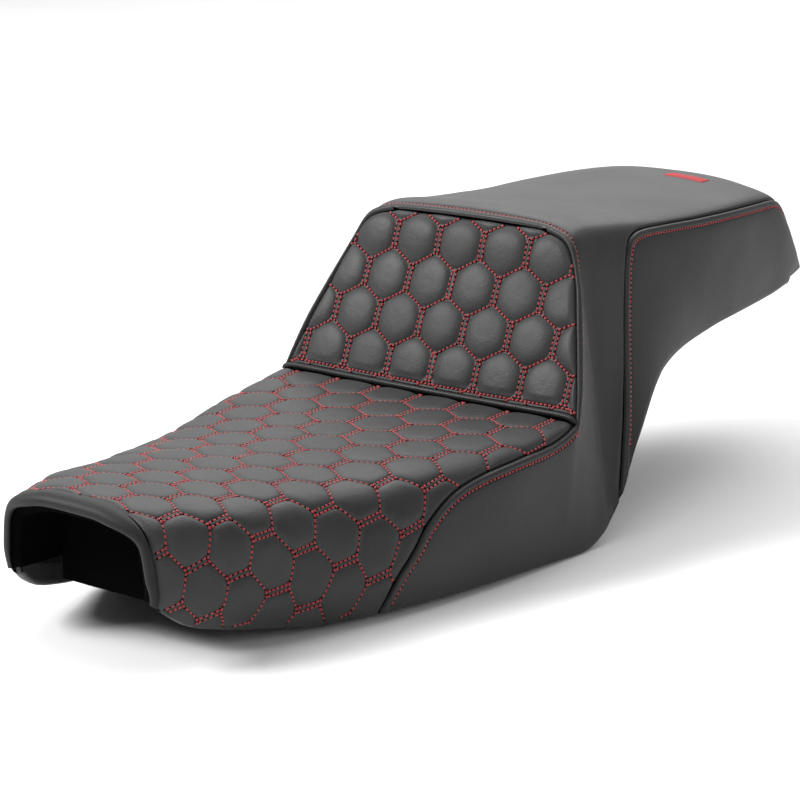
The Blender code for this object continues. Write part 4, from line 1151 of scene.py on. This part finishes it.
# ------------------------------------------------------------------ staples inside the pan's rim
sm, st_, sn = [], [], []
for sign in (1, -1):
    for u in np.arange(88, 880, 17.0):
        if abs(u - U_CREASE) < 6:
            continue
        w = 'pan'
        p, n = points([u - 1, u, u + 1], [.937 * sign] * 3, w)
        sm.append(p[1] - n[1] * 4.9)
        st_.append(p[2] - p[0])
        sn.append(-n[1])
SV = np.array([[x, y, z] for x, z in ((-5, -1.2), (-4.6, .25), (-3.8, .42), (3.8, .42), (4.6, .25), (5, -1.2)) for y in (-.42, .42)]
              + [[x, y, z - .5] for x, z in ((-5, -1.2), (-4.6, .1), (-3.8, .1), (3.8, .1), (4.6, .1), (5, -1.2)) for y in (-.42, .42)])
SQ = []
for k in range(5):
    a = 2 * k
    SQ.append([a, a + 1, a + 3, a + 2])
    b = 12 + a
    SQ.append([b + 2, b + 3, b + 1, b])
    SQ.append([a, a + 2, b + 2, b])
    SQ.append([a + 3, a + 1, b + 1, b + 3])
sm, st_, sn = np.array(sm), np.array(st_), np.array(sn)
v, f = stamp(SV, np.array(SQ), sm, frames(sm, st_, sn))
mesh_object('hem_staples', v, f, M_STAPLE, smooth=False)

# ------------------------------------------------------------------ CAD pieces kept
KEEP = {'seat_pan': M_PAN, 'front_hook_bracket': M_STEEL, 'rear_tab': M_STEEL, 'mounting_screw': M_STEEL, 'retaining_washer': M_STEEL}
for n_, ob in frame['nodes'].items():
    mat = KEEP.get(n_, M_STEEL if 'rivet' in n_ else M_RUBBER if n_.startswith('bumper') else None)
    if mat is None:
        continue
    for sl in ob.material_slots:
        sl.material = mat

# ------------------------------------------------------------------ floor, lights, camera
bpy.ops.mesh.primitive_plane_add(size=14, location=(0, 0, -.0015))
floor = bpy.context.object
floor.name = 'studio_floor'
fm, nt, b = new_material('pale_floor')
co = node(nt, 'ShaderNodeTexCoord')
nz = node(nt, 'ShaderNodeTexNoise', Scale=3.0, Detail=3.0)
nt.links.new(co.outputs['Object'], nz.inputs['Vector'])
cc = ramp(nt, nz.outputs['Fac'], [(.3, (.86, .86, .86)), (.7, (.90, .90, .90))])
nt.links.new(cc.outputs['Color'], b.inputs['Base Color'])
b.inputs['Roughness'].default_value = .9
floor.data.materials.append(fm)

world = bpy.data.worlds.new('studio') if not bpy.data.worlds else bpy.data.worlds[0]
bpy.context.scene.world = world
world.use_nodes = True
wt = world.node_tree
bg = wt.nodes['Background']
wc = wt.nodes.new('ShaderNodeTexCoord')
wd = wt.nodes.new('ShaderNodeVectorMath')
wd.operation = 'DOT_PRODUCT'
wd.inputs[1].default_value = Vector((-.56, .72, .41)).normalized()
wr = wt.nodes.new('ShaderNodeValToRGB')
wr.color_ramp.interpolation = 'EASE'
wr.color_ramp.elements[0].position, wr.color_ramp.elements[1].position = .0, .92
wr.color_ramp.elements[0].color = (.12, .12, .12, 1)
wr.color_ramp.elements[1].color = (.82, .82, .82, 1)
wt.links.new(wc.outputs['Generated'], wd.inputs[0])
wt.links.new(wd.outputs['Value'], wr.inputs['Fac'])
wt.links.new(wr.outputs['Color'], bg.inputs['Color'])
bg.inputs['Strength'].default_value = 1.0


def area(name, loc, target, size, power, size_y=None):
    d = bpy.data.lights.new(name, 'AREA')
    d.energy = power
    d.shape = 'RECTANGLE'
    d.size = size
    d.size_y = size_y or size
    o = bpy.data.objects.new(name, d)
    bpy.context.collection.objects.link(o)
    o.location = loc
    o.rotation_mode = 'QUATERNION'
    o.rotation_quaternion = (Vector(target) - Vector(loc)).to_track_quat('-Z', 'Y')
    return o


area('overhead_softbox', (-.35, .7, 2.6), (0, .3, .1), 3.0, 46, 3.0)
area('front_left_softbox', (-1.3, -1.5, 1.6), (0, .05, .15), 1.0, 72)
area('far_floor_wash', (-1.6, 2.6, 2.6), (-1.4, 2.2, 0), 3.0, 60)
area('corner_strip', (1.9, -1.0, 1.1), (.12, .08, .17), .35, 11, .9)

cam_d = bpy.data.cameras.new('camera')
cam_d.lens = 122.209
cam_d.sensor_width = 36
cam_d.clip_start, cam_d.clip_end = .05, 50
cam = bpy.data.objects.new('camera', cam_d)
bpy.context.collection.objects.link(cam)
r_, u_, b_ = Vector((.78801, .61566, 0)), Vector((-.15216, .19476, .96898)), Vector((.59656, -.76356, .24715))
mw = Matrix((( r_[0], u_[0], b_[0], 1.1775), (r_[1], u_[1], b_[1], -1.5406 - Y_CENTRE * MM), (r_[2], u_[2], b_[2], .5870 + Z_LIFT * MM), (0, 0, 0, 1)))
cam.matrix_world = mw
bpy.context.scene.camera = cam
bpy.context.scene.view_settings.view_transform = 'Standard'
